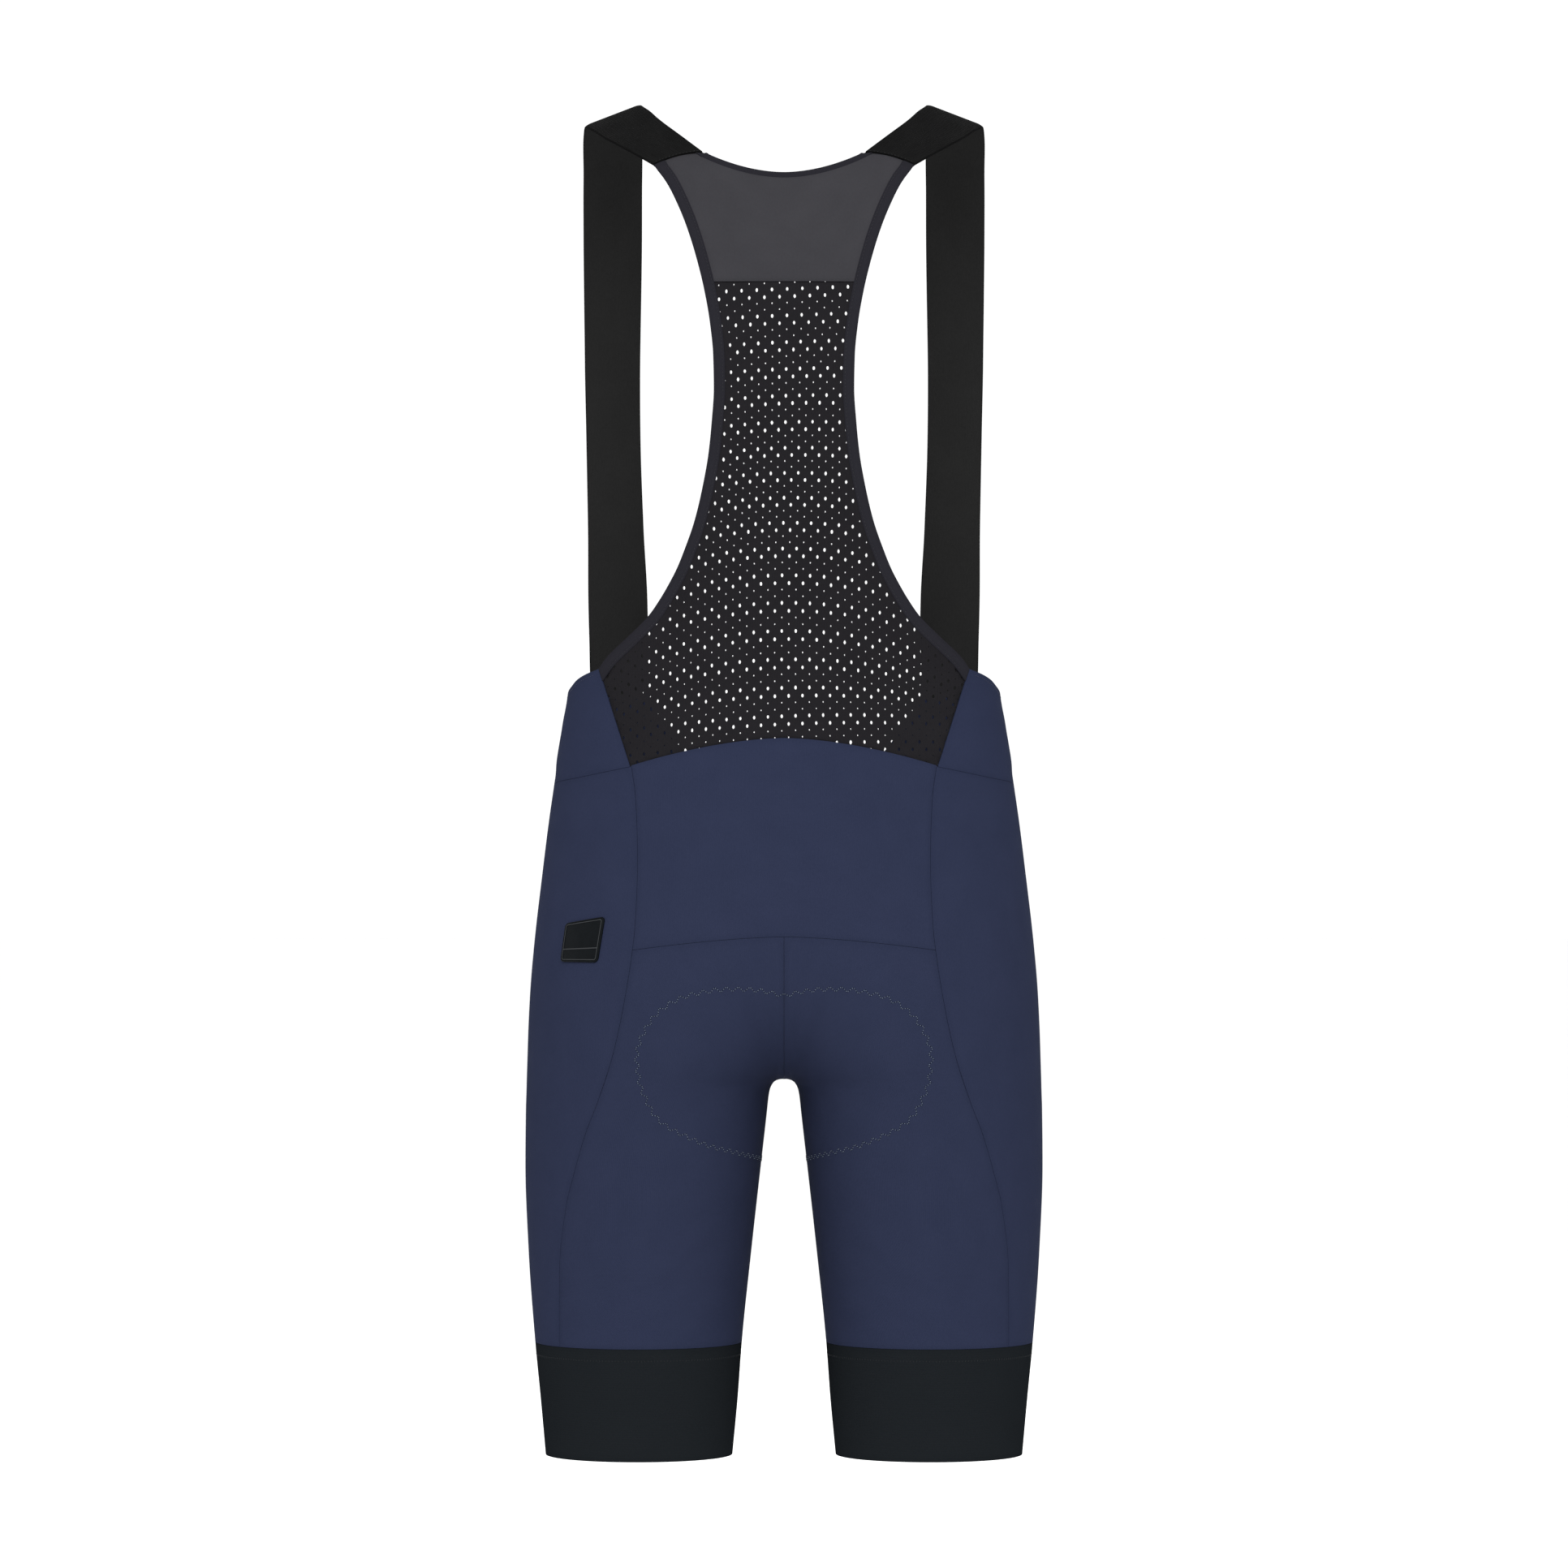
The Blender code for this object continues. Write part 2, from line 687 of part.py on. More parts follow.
def back_waist(look):
    """The panel across the small of the back, between the mesh and the seat."""

    def side(v):
        row = round(v * WAIST_ROWS)
        z = SIDE_BACK_LEVELS[SEAT_ROWS + row]
        lift = {0: HALF_GAP, WAIST_ROWS: -HALF_GAP}.get(row, 0.0)
        return (side_seam_x(z) - HALF_GAP, z + lift)

    def bottom(u):
        share = 1 - abs(2 * u - 1)
        x = skin(leg_angle(share, seat_top(share), 1), seat_top(share)).x if share < 1 else 0.0
        return (math.copysign(x, u - 0.5), seat_seam_z(x) + HALF_GAP)

    def top(u):
        x = mix(-side(1)[0], side(1)[0], u)
        return (x, waist_seam_z(x) - HALF_GAP)

    place = patch(bottom, top, flip(side), side)
    finish(thicken(sheet(2 * LEG_COLUMNS, WAIST_ROWS, place), CLOTH, both_sides), "back_waist", look)


# The back bib: armhole bindings, mesh and yoke


def armhole_stations():
    """Points down the armhole's edge, beside the yoke and then beside the mesh, with the way inwards."""
    top_z, low_z = STRAP_SEAM_ARM[1], HIP_CORNER_TOP[1]
    fine = [Vector((armhole_x(z), z)) for z in spaced(top_z, low_z, FINE_STEPS)]
    lengths = [0.0]
    for a, b in zip(fine, fine[1:]):
        lengths.append(lengths[-1] + (b - a).length)
    count = YOKE_ROWS + MESH_ROWS
    points = []
    for share in spaced(0, YOKE_SHARE, YOKE_ROWS)[:-1] + spaced(YOKE_SHARE, 1, MESH_ROWS):
        target = lengths[-1] * share
        nearest = min(range(len(fine)), key=lambda k: abs(lengths[k] - target))
        points.append(fine[nearest])
    seam = Vector(STRAP_SEAM_NECK) - Vector(STRAP_SEAM_ARM)
    hip = Vector(HIP_CORNER_LOW) - Vector(HIP_CORNER_TOP)
    stations = []
    for i, point in enumerate(points):
        along = points[min(i + 1, count)] - points[max(i - 1, 0)]
        across = Vector((along.y, -along.x)).normalized()
        if i in (0, count):
            cut = (seam if i == 0 else hip).normalized()
            across = cut / cut.dot(across)
        stations.append((point, across))
    return stations


STATIONS = armhole_stations()


def inside_binding(station, extra):
    point, across = STATIONS[station]
    return point + across * (ARMHOLE_BINDING + extra)


def armhole_bindings(look):
    """The folded tape along each armhole's edge."""
    last = len(STATIONS) - 1

    def place(u, v):
        point, across = STATIONS[round((1 - v) * last)]
        flat = point + across * (ARMHOLE_BINDING * u)
        return on_back(flat.x, flat.y)

    bm = thicken(sheet(1, last, place), BINDING_CLOTH, both_sides, BINDING_PROUD)
    pair("armhole_binding", bm, look)


def back_mesh(look):
    """The open-work knit panel down the back."""
    last = len(STATIONS) - 1
    corner = inside_binding(last, SEAM_GAP)
    low = Vector(HIP_CORNER_LOW) - Vector((SEAM_GAP, 0.0))
    hip_rows = FRONT_WAIST_ROWS
    rows = MESH_ROWS + hip_rows

    def side(v):
        row = round(v * rows)
        if row < hip_rows:
            point = low.lerp(corner - Vector((HALF_GAP, 0.0)), row / hip_rows)
            return (point.x, waist_seam_z(low.x) + HALF_GAP if row == 0 else point.y)
        point = inside_binding(last - (row - hip_rows), SEAM_GAP)
        if row == hip_rows:
            point = point - Vector((HALF_GAP, 0.0))
        if row == rows:
            point = point - Vector((0.0, HALF_GAP))
        return tuple(point)

    def bottom(u):
        x = mix(-side(0)[0], side(0)[0], u)
        return (x, waist_seam_z(x) + HALF_GAP)

    def top(u):
        x, z = side(1)
        return (mix(-x, x, u), z)

    place = patch(bottom, top, flip(side), side)
    finish(thicken(sheet(BACK_COLUMNS, rows, place), CLOTH, both_sides), "back_mesh", look)


def neck_edge(below):
    """A point a given way below the neck's edge, for a share across half the neck."""
    seam = (Vector(STRAP_SEAM_ARM) - Vector(STRAP_SEAM_NECK)).normalized()

    def at(share):
        x = STRAP_SEAM_NECK[0] * share
        lean = (neck_z(x + 0.5) - neck_z(x - 0.5)) if share > 0.01 else 0.0
        down = Vector((lean, -1.0)).normalized()
        if share > 0.99:
            down = seam / seam.dot(down)
        return Vector((x, neck_z(x))) + down * below

    return at


def neck_binding(look):
    """The narrow tape along the back of the neck."""
    upper, lower = neck_edge(0.0), neck_edge(NECK_BINDING)

    def place(u, v):
        share = abs(2 * u - 1)
        flat = lower(share).lerp(upper(share), v)
        return on_back(math.copysign(flat.x, u - 0.5), flat.y)

    bm = thicken(sheet(2 * NECK_COLUMNS, 1, place), BINDING_CLOTH, both_sides, BINDING_PROUD)
    finish(bm, "neck_binding", look)


def strap_seam_arch(u):
    """How far the seam between strap and yoke bows upwards, across the strap."""
    return STRAP_SEAM_ARCH * 4 * u * (1 - u)


def yoke(look):
    """The fine knit panel between the straps, above the mesh."""
    columns = NECK_COLUMNS + STRAP_SEAM_COLUMNS
    neck_share = NECK_COLUMNS / columns
    under_neck = neck_edge(NECK_BINDING + SEAM_GAP)
    seam_start = under_neck(1.0)
    seam_end = inside_binding(0, SEAM_GAP)

    def side(v):
        row = round(v * YOKE_ROWS)
        point = inside_binding(YOKE_ROWS - row, SEAM_GAP)
        if row == 0:
            point = point + Vector((0.0, HALF_GAP))
        return tuple(point)

    def bottom(u):
        x, z = side(0)
        return (mix(-x, x, u), z)

    def top(u):
        share = abs(2 * u - 1)
        if share <= neck_share:
            flat = under_neck(share / neck_share)
        else:
            across = (share - neck_share) / (1 - neck_share)
            flat = seam_start.lerp(seam_end, across)
            flat.y += strap_seam_arch(across)
        return (math.copysign(flat.x, u - 0.5), flat.y)

    place = patch(bottom, top, flip(side), side)
    finish(thicken(sheet(2 * columns, YOKE_ROWS, place), CLOTH, both_sides), "yoke", look)


# Straps


def strap_lengths():
    lengths = [0.0]
    for a, b in zip(STRAP, STRAP[1:]):
        lengths.append(lengths[-1] + (Vector(b[:3]) - Vector(a[:3])).length)
    return lengths


STRAP_LENGTHS = strap_lengths()
STRAP_CURVES = {
    column: curve_through(STRAP_LENGTHS, [getattr(row, column) for row in STRAP])
    for column in StrapPoint._fields
}


def ribbon(u, along):
    """The strap's outer face as a plain ribbon: u runs from its inner edge to its outer edge."""
    here = StrapPoint(*(STRAP_CURVES[column](along) for column in StrapPoint._fields))
    slope, turn = math.radians(here.slope), math.radians(here.turn)
    across = Vector((math.cos(slope) * math.cos(turn), math.sin(turn), -math.sin(slope)))
    return Vector((here.x, here.y, here.z)) + across * here.width * (u - 0.5)


def strap_foot(u):
    degrees = mix(*STRAP_FOOT_DEGREES, u)
    return skin(math.radians(degrees), waist_top(degrees) + SEAM_GAP)


def strap_head(u):
    """The strap's seam to the back bib, a seam's gap above it."""
    flat = Vector(STRAP_SEAM_NECK).lerp(Vector(STRAP_SEAM_ARM), u)
    return on_back(flat.x, flat.y + SEAM_GAP + strap_seam_arch(u))


def straps(look):
    """Each strap is one elastic, from the front waist over the shoulder to the back bib."""
    whole = STRAP_LENGTHS[-1]
    rows = ROWS_A_STRAP_POINT * (len(STRAP) - 1)
    across = spaced(0.0, 1.0, STRAP_COLUMNS)
    foot_shift = [strap_foot(u) - ribbon(u, 0.0) for u in across]
    head_shift = [strap_head(u) - ribbon(u, whole) for u in across]

    def ease(distance):
        share = max(0.0, 1 - distance / STRAP_EASE)
        return share * share * (3 - 2 * share)

    def place(u, v):
        point, part = divmod(round(v * rows), ROWS_A_STRAP_POINT)
        along = STRAP_LENGTHS[point]
        if part:
            along = mix(along, STRAP_LENGTHS[point + 1], part / ROWS_A_STRAP_POINT)
        column = round(u * STRAP_COLUMNS)
        to_foot = foot_shift[column] * ease(along)
        to_head = head_shift[column] * ease(whole - along)
        return ribbon(u, along) + to_foot + to_head

    bm = sheet(STRAP_COLUMNS, rows, place)
    bm.normal_update()
    away = {tuple(vertex.co): vertex.normal.copy() for vertex in bm.verts}
    thicken(bm, STRAP_CLOTH, lambda point: away[tuple(point)])
    pair("strap", bm, look)


# Badge and pad


def badge(look):
    """The rubber badge on the left hip, laid on the side panel."""

    def place(u, v):
        if u in (0, 1) and v in (0, 1):
            u = mix(u, 0.5, BADGE_CORNER_CUT)
            v = mix(v, 0.5, BADGE_CORNER_CUT)
        low = Vector(BADGE_LOW[0]).lerp(Vector(BADGE_LOW[1]), u)
        high = Vector(BADGE_HIGH[0]).lerp(Vector(BADGE_HIGH[1]), u)
        across, up = low.lerp(high, v)
        z = BADGE_LEVEL + up
        point = skin(angle_at(BADGE_FROM_CENTRE, z, 1) + across / BADGE_TURN, z)
        return point + SEAM_GAP * outward(point)

    bm = sheet(BADGE_COLUMNS, BADGE_ROWS, place)
    thicken(bm, -BADGE_THICK)
    finish(bm, "badge", look)


def seat_pad(look):
    """The pad inside the seat: four quarters that share the centre and inner leg lines."""
    levels = [CROTCH - drop for drop in PAD_BELOW_CROTCH] + [CROTCH + rise for rise in PAD_ABOVE_CROTCH]
    breadth = {1: table_curve(PAD_EDGE, "back"), -1: table_curve(PAD_EDGE, "front")}

    def quarter(side):
        def place(u, v):
            z = levels[round(v * (len(levels) - 1))]
            edge = angle_at(breadth[side](z), z, side)
            return skin(mix(edge, centre_angle(z, side), toward_centre(u)), z)

        return sheet(PAD_COLUMNS, len(levels) - 1, place)

    whole = bmesh.new()
    for side in (1, -1):
        for sign in (1, -1):
            part = quarter(side)
            bmesh.ops.scale(part, vec=(sign, 1, 1), verts=part.verts)
            mesh = bpy.data.meshes.new("quarter")
            part.to_mesh(mesh)
            part.free()
            whole.from_mesh(mesh)
            bpy.data.meshes.remove(mesh)
    bmesh.ops.remove_doubles(whole, verts=whole.verts, dist=2.1 * HALF_GAP)
    bmesh.ops.recalc_face_normals(whole, faces=whole.faces)
    for vertex in whole.verts:
        if abs(vertex.co.x) < SEAM_GAP:
            vertex.co.x = 0.0
        vertex.co -= (CLOTH + PAD_CLEAR) * both_sides(vertex.co)
    thicken(whole, PAD_THICK, both_sides)
    finish(whole, "seat_pad", look)


def clear_scene():
    for item in list(bpy.data.objects):
        bpy.data.objects.remove(item)


def main():
    clear_scene()
    navy = material("navy_knit", NAVY)
    elastic = material("black_elastic", BLACK_ELASTIC)
    band = material("black_band", BLACK_BAND)
    seat_panels(navy)
    front_panels(navy)
    side_panels(navy)
    back_waist(navy)
    front_waist(navy)
    leg_bands(band)
    back_mesh(material("black_mesh", BLACK_MESH))
    yoke(material("grey_yoke", GREY_YOKE))
    armhole_bindings(elastic)
    neck_binding(elastic)
    straps(elastic)
    badge(material("badge_rubber", BADGE_RUBBER))
    seat_pad(material("pad_foam", PAD_FOAM))


main()
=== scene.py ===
"""Cycling bib shorts, in the hollow form that they take when worn, with no wearer inside.

Metres, +Z up, -Y the wearer's front and +X the wearer's left. The cloth is laid out in millimetres,
and MM turns each finished piece into metres.
"""

import math

import bmesh
import bpy
import numpy as np
from mathutils import Matrix


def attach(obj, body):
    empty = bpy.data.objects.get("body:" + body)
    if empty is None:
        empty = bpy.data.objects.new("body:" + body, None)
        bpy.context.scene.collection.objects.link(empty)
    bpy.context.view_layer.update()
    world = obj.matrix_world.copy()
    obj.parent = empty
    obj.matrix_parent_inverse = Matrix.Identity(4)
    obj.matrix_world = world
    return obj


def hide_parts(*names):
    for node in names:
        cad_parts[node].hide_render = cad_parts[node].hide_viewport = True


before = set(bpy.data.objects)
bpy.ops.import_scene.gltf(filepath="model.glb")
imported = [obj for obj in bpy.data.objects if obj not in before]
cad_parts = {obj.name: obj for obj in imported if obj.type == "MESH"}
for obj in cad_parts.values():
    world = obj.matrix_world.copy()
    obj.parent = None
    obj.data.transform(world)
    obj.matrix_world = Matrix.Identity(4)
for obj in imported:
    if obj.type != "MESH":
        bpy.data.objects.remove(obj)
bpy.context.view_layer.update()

# Seat panels
# The two panels under the seat, either side of the centre back seam. They are cut from a warp knit
# of nylon and elastane that is dyed navy, and flat-seamed to each other and to the side panels.

MM = 0.001
CLOTH = 1.2
SEAM_GAP = 0.16
HALF_GAP = SEAM_GAP / 2
CLOTH_EDGE = 0.15
HEM = -906.3
BAND_TOP = -830.0

# Each row is a level of the body that the cloth is drawn over: how far out and in one leg or hip
# reaches, its front and back, and how square each of them is.
BODY_FORM = [
    (-906.3, 161.4, 34.9, -57, 61, 2.05, 2.05),
    (-868, 164.8, 31.3, -60.5, 66, 2.05, 2.05),
    (-830, 168.4, 28.5, -64, 72, 2.05, 2.05),
    (-770, 172.7, 22.3, -71, 82, 2.05, 2.05),
    (-710, 174.9, 15.6, -78, 92, 2.05, 2.05),
    (-671, 174.5, 11.2, -83, 99, 2.05, 2.05),
    (-662, 174.2, 10.3, -84.5, 101, 2.05, 2.05),
    (-655.6, 174, 8.8, -85.5, 102.5, 2.05, 2.05),
    (-651.2, 173.9, 5.8, -86, 103.5, 2.05, 2.05),
    (-640, 173.5, -6, -87.5, 107, 2.07, 2.07),
    (-620, 172.8, -25, -90, 113, 2.10, 2.10),
    (-590, 171.2, -50, -92.5, 119.5, 2.15, 2.15),
    (-555, 168.1, -80, -95, 121, 2.20, 2.20),
    (-515, 163.6, -115, -97, 113.5, 2.30, 2.20),
    (-480, 159.5, -142, -99, 102, 2.45, 2.20),
    (-445, 154.7, -154.7, -100, 91, 2.60, 2.20),
    (-415, 150.8, -150.8, -101, 84, 2.75, 2.20),
    (-387, 146.5, -146.5, -101, 80, 2.80, 2.20),
    (-340, 145.5, -145.5, -102, 78.5, 2.80, 2.20),
    (-290, 147, -147, -103, 81, 2.60, 2.20),
    (-240, 151, -151, -105, 87.5, 2.40, 2.20),
    (-190, 157, -157, -107, 93.5, 2.30, 2.20),
    (-140, 165, -165, -107, 97, 2.20, 2.20),
    (-110, 174, -174, -104, 96.5, 2.20, 2.20),
    (-80, 183, -183, -97, 91.5, 2.20, 2.20),
    (-60, 188, -188, -88, 84.5, 2.20, 2.20),
    (-44, 191, -191, -76, 75.5, 2.20, 2.20),
    (-30, 193, -193, -62, 63, 2.20, 2.20),
    (-20, 194, -194, -50, 50, 2.20, 2.20),
]
CROTCH_FILLET = 22.0
MERGED_CENTRE = 60.0
BEYOND_SKIN = 240.0
HALVINGS = 34
TINY = 1e-9

# The seam down each side: height, and distance from the centre plane in front and at the back.
SIDE_SEAM = [
    (-830, 150.7), (-776, 150.1), (-734, 145.3), (-711, 139.6), (-687, 132.6),
    (-662, 123.1), (-635, 114.2), (-607, 107.6), (-566, 100.7), (-547, 98.6),
    (-511, 97.2), (-489, 97.5), (-461, 99), (-440, 102),
]
# The seat seam: its height on the centre plane, how far it has risen at a distance, and its bend.
SEAT_SEAM = (-553.6, -8.0, 94.0, 1.6)
SEAT_SEAM_SIDE = -561.0
HIP_CORNER_TOP = (124.7, -375.4)
HIP_CORNER_LOW = (103.0, -440.3)
BELOW_CROTCH = [151, 124, 97, 71, 48, 30, 17, 11, 7.5, 5, 3.2, 1.9, 1, 0.45, 0.15, 0.04, 0]
ABOVE_CROTCH_BACK = [0.15, 0.5, 1.2, 2.4, 4, 9, 18, 32, 50, 73]
SEAT_ROWS = 21
WAIST_ROWS = 6
LEG_COLUMNS = 32
FINER_ROWS = 4
CROTCH_FLAT = 1.3
CROTCH_FLAT_REACH = 3.4
CENTRE_START = 0.8
CROTCH_LINE_RISE = 3
INNER_LEG_END = 0.2
GATHER = 1.3
TOP_BEND = 6
SEAM_WIDTH = 5.0
SEAM_THICK = 0.6
SEAM_UNDER = 0.02
CROTCH_GAP = 0.01
STITCH_PROUD = 0.12
SHARP_DEGREES = 50
SIDES = ("left", "right")


def mix(a, b, share):
    return a + (b - a) * share


def smooth_step(value):
    value = np.clip(value, 0, 1)
    return value * value * (3 - 2 * value)


def fade(distance, reach, full=1.0):
    """1 near a place and 0 far from it, falling over a reach, and later where full is above 1."""
    return smooth_step(full - np.abs(distance) / reach)


def unit(ways):
    return ways / np.linalg.norm(ways, axis=1, keepdims=True)


def lengths_along(path):
    """How far along a path each of its points lies."""
    return np.append(0.0, np.linalg.norm(np.diff(path, axis=0), axis=1).cumsum())


def between(place, places, rows):
    """A table's rows at places between its own."""
    return np.stack([np.interp(place, places, column) for column in rows.T], -1)


def smooth_table(rows):
    """A smooth curve through a table's rows, by its first column, that never overshoots."""
    rows = np.array(rows, float)
    places, values = rows[:, 0], rows[:, 1:]
    width = np.diff(places)[:, None]
    steps = np.diff(values, axis=0) / width
    same_way = steps[:-1] * steps[1:] > 0
    total = np.where(same_way, steps[:-1] + steps[1:], 1.0)
    bends = np.where(same_way, 2 * steps[:-1] * steps[1:] / total, 0.0)
    slopes = np.vstack([steps[:1], bends, steps[-1:]])

    def at(place):
        place = np.clip(np.asarray(place, float), places[0], places[-1])
        i = np.clip(np.searchsorted(places, place) - 1, 0, len(places) - 2)
        s = ((place - places[i]) / width[i, 0])[..., None]
        lean_start, lean_end = slopes[i] * width[i], slopes[i + 1] * width[i]
        return (
            values[i] * (1 + 2 * s) * (1 - s) ** 2
            + lean_start * s * (1 - s) ** 2
            + values[i + 1] * s * s * (3 - 2 * s)
            + lean_end * s * s * (s - 1)
        )

    return at


body_at = smooth_table(BODY_FORM)
side_seam_curve = smooth_table(SIDE_SEAM)


def side_seam_x(z):
    return side_seam_curve(z)[..., 0]


def middle_of(z):
    """The centre of one leg or hip at a height."""
    s = body_at(z)
    return (s[..., 0] + s[..., 1]) / 2, (s[..., 2] + s[..., 3]) / 2


def distance_out(x, y, z):
    """How far a point lies outside one side's oval."""
    outer, inner, front, back, front_square, back_square = np.moveaxis(body_at(z), -1, 0)
    dx, dy = x - (outer + inner) / 2, y - (front + back) / 2
    square = np.where(dy < 0, front_square, back_square)
    reach = np.abs(dx / (outer - inner) * 2) ** square + np.abs(dy / (back - front) * 2) ** square
    length = np.hypot(dx, dy)
    return length - length / np.maximum(reach ** (1 / square), TINY)


def outside(x, y, z):
    """Negative inside the two sides' merged ovals, positive outside, with a fillet between them."""
    left, right = distance_out(x, y, z), distance_out(-x, y, z)
    fillet = CROTCH_FILLET * np.clip(middle_of(z)[0] / MERGED_CENTRE, 0, 1)
    shared = np.maximum(fillet - np.abs(left - right), 0) ** 2 / (4 * np.maximum(fillet, TINY))
    return np.minimum(left, right) - shared


def crossing(value_at, near, far):
    """Where a value turns from negative to positive between two distances."""
    near, far = np.array(near, float), np.array(far, float)
    for _ in range(HALVINGS):
        middle = (near + far) / 2
        inside = value_at(middle) < 0
        near, far = np.where(inside, middle, near), np.where(inside, far, middle)
    return (near + far) / 2


def skin(angle, z):
    """The left half's skin, by the angle round its own centre: 0 outwards, positive back."""
    angle, z = np.broadcast_arrays(np.asarray(angle, float), np.asarray(z, float))
    middle_x, middle_y = middle_of(z)
    way_x, way_y = np.cos(angle), np.sin(angle)
    to_centre = np.where(way_x < -TINY, middle_x / np.maximum(-way_x, TINY), BEYOND_SKIN)
    far = np.minimum(to_centre, BEYOND_SKIN)
    reach = crossing(lambda r: outside(middle_x + r * way_x, middle_y + r * way_y, z), 0 * far, far)
    return np.stack([middle_x + reach * way_x, middle_y + reach * way_y, z], -1)


def skin_at(x, z, side):
    """The skin, by the distance from the centre plane: side 1 on the back, -1 in front."""
    x, z = np.broadcast_arrays(np.asarray(x, float), np.asarray(z, float))
    middle_y = middle_of(z)[1]
    far = np.full(x.shape, BEYOND_SKIN)
    reach = crossing(lambda r: outside(np.abs(x), middle_y + side * r, z), 0 * far, far)
    return np.stack([x, middle_y + side * reach, z], -1)


def angle_at(x, z, side):
    spot = skin_at(x, z, side)
    middle_x, middle_y = middle_of(z)
    return np.arctan2(spot[..., 1] - middle_y, spot[..., 0] - middle_x)


def centre_angle(z, side):
    """Where a half ends: the centre plane above the crotch, the inner leg seam below it."""
    middle_x, middle_y = middle_of(z)
    to_inner_leg = math.pi - HALF_GAP / (middle_x - body_at(z)[..., 1])
    merged = outside(HALF_GAP, middle_y, z) < 0
    return np.where(merged, angle_at(HALF_GAP, z, side), side * to_inner_leg)


def outward(spots):
    """The cloth's outward direction at each point, on either side of the centre plane."""
    step = 0.25
    x, y, z = np.abs(spots[:, 0]), spots[:, 1], spots[:, 2]
    lean = np.stack([
        outside(x + step, y, z) - outside(x - step, y, z),
        outside(x, y + step, z) - outside(x, y - step, z),
        outside(x, y, z + step) - outside(x, y, z - step),
    ], -1)
    lean[:, 0] *= np.where(np.abs(spots[:, 0]) < 0.01, 0.0, np.sign(spots[:, 0]))
    return unit(lean)


def verts_in(geometry):
    return [item for item in geometry if isinstance(item, bmesh.types.BMVert)]


def spots_of(verts):
    return np.array([vertex.co for vertex in verts], float).reshape(-1, 3)


def put(verts, spots):
    for vertex, spot in zip(verts, spots):
        vertex.co = spot


def lay(columns, rows, place):
    """Lays a grid of cloth at place(u, v), u across it and v up it, from 0 to 1. Every point keeps
    its place in the cloth in metres: across it, along it, and in from the nearest cut edge."""
    bm = bmesh.new()
    bmesh.ops.create_grid(bm, x_segments=columns, y_segments=rows, size=0.5)
    flat = spots_of(bm.verts)[:, :2] + 0.5
    laid = place(flat[:, 0], flat[:, 1])
    column, row = np.rint(flat * (columns, rows)).astype(int).T
    grid = np.zeros((rows + 1, columns + 1, 3))
    grid[row, column] = laid
    across = np.linalg.norm(np.diff(grid, axis=1), axis=2).cumsum(1)
    across = np.hstack([np.zeros((rows + 1, 1)), across])
    along = np.linalg.norm(np.diff(grid, axis=0), axis=2).cumsum(0)
    along = np.vstack([np.zeros((1, columns + 1)), along])
    inside = np.minimum(
        np.minimum(across, across[:, -1:] - across), np.minimum(along, along[-1:] - along)
    )
    weave = np.stack([across - across[:, -1:] / 2, along, inside], -1)[row, column] * MM
    layer, grid_layer = (bm.verts.layers.float_vector.new(name) for name in ("weave", "grid"))
    for vertex, spot, place_in_cloth, (u, v) in zip(bm.verts, laid, weave, flat):
        vertex.co = spot
        vertex[layer], vertex[grid_layer] = place_in_cloth, (u, v, 0)
    return bm


def thicken(bm, wall, way=outward, proud=0.0, edge=CLOTH_EDGE, steps=2):
    """Gives a sheet its wall, proud of the skin by so much, and rounds its cut edges. The wall can
    vary. Faces that look inwards are numbered 1, for a cloth with two different sides."""
    outer = bm.verts[:]
    inner = verts_in(bmesh.ops.extrude_face_region(
        bm, geom=outer + bm.edges[:] + bm.faces[:], use_keep_orig=True
    )["geom"])
    for number, verts in ((1, inner), (0, outer)):
        for face in {face for vertex in verts for face in vertex.link_faces}:
            face.material_index = number
    deep = wall(inner) if callable(wall) else wall
    put(inner, spots_of(inner) - (deep - proud) * way(spots_of(inner)))
    put(outer, spots_of(outer) + proud * way(spots_of(outer)))
    bmesh.ops.recalc_face_normals(bm, faces=bm.faces)
    if edge:
        rims = [e for e in bm.edges if len(e.link_faces) == 2 and e.calc_face_angle() > 1.0]
        bmesh.ops.bevel(
            bm, geom=rims, offset=edge, offset_type="OFFSET", segments=steps, profile=0.5,
            affect="EDGES", clamp_overlap=True, material=-1,
        )
    return bm


def make(bm, name, look, slot, *nodes):
    """The finished piece, in metres, riding on the shorts and standing for its CAD nodes. A cloth
    with two sides has a look for each."""
    looks = look if isinstance(look, tuple) else (look,)
    for face in bm.faces:
        face.material_index = min(face.material_index, len(looks) - 1)
    bmesh.ops.recalc_face_normals(bm, faces=bm.faces)
    bmesh.ops.scale(bm, vec=(MM, MM, MM), verts=bm.verts)
    mesh = bpy.data.meshes.new(name)
    bm.to_mesh(mesh)
    bm.free()
    mesh.shade_smooth()
    mesh.set_sharp_from_angle(angle=math.radians(SHARP_DEGREES))
    for side in looks:
        mesh.materials.append(side)
    piece = bpy.data.objects.new(name, mesh)
    bpy.context.scene.collection.objects.link(piece)
    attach(piece, "root")
    if nodes:
        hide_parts(*nodes)
    return piece


def pair(bm, name, look, slot, node=None):
    """The left piece and its mirrored right one."""
    other = bm.copy()
    bmesh.ops.scale(other, vec=(-1, 1, 1), verts=other.verts)
    return [
        make(sheet, f"{name}_{side}", look, slot, *([f"{node}_{side}"] if node else []))
        for sheet, side in zip((bm, other), SIDES)
    ]


def node(look, kind, inputs=None, **settings):
    """Adds a shader node, with each input either set or linked from another node's output."""
    made = look.node_tree.nodes.new("ShaderNode" + kind)
    for name, value in settings.items():
        setattr(made, name, value)
    for name, value in (inputs or {}).items():
        if isinstance(value, bpy.types.NodeSocket):
            look.node_tree.links.new(value, made.inputs[name])
        else:
            made.inputs[name].default_value = value
    return made


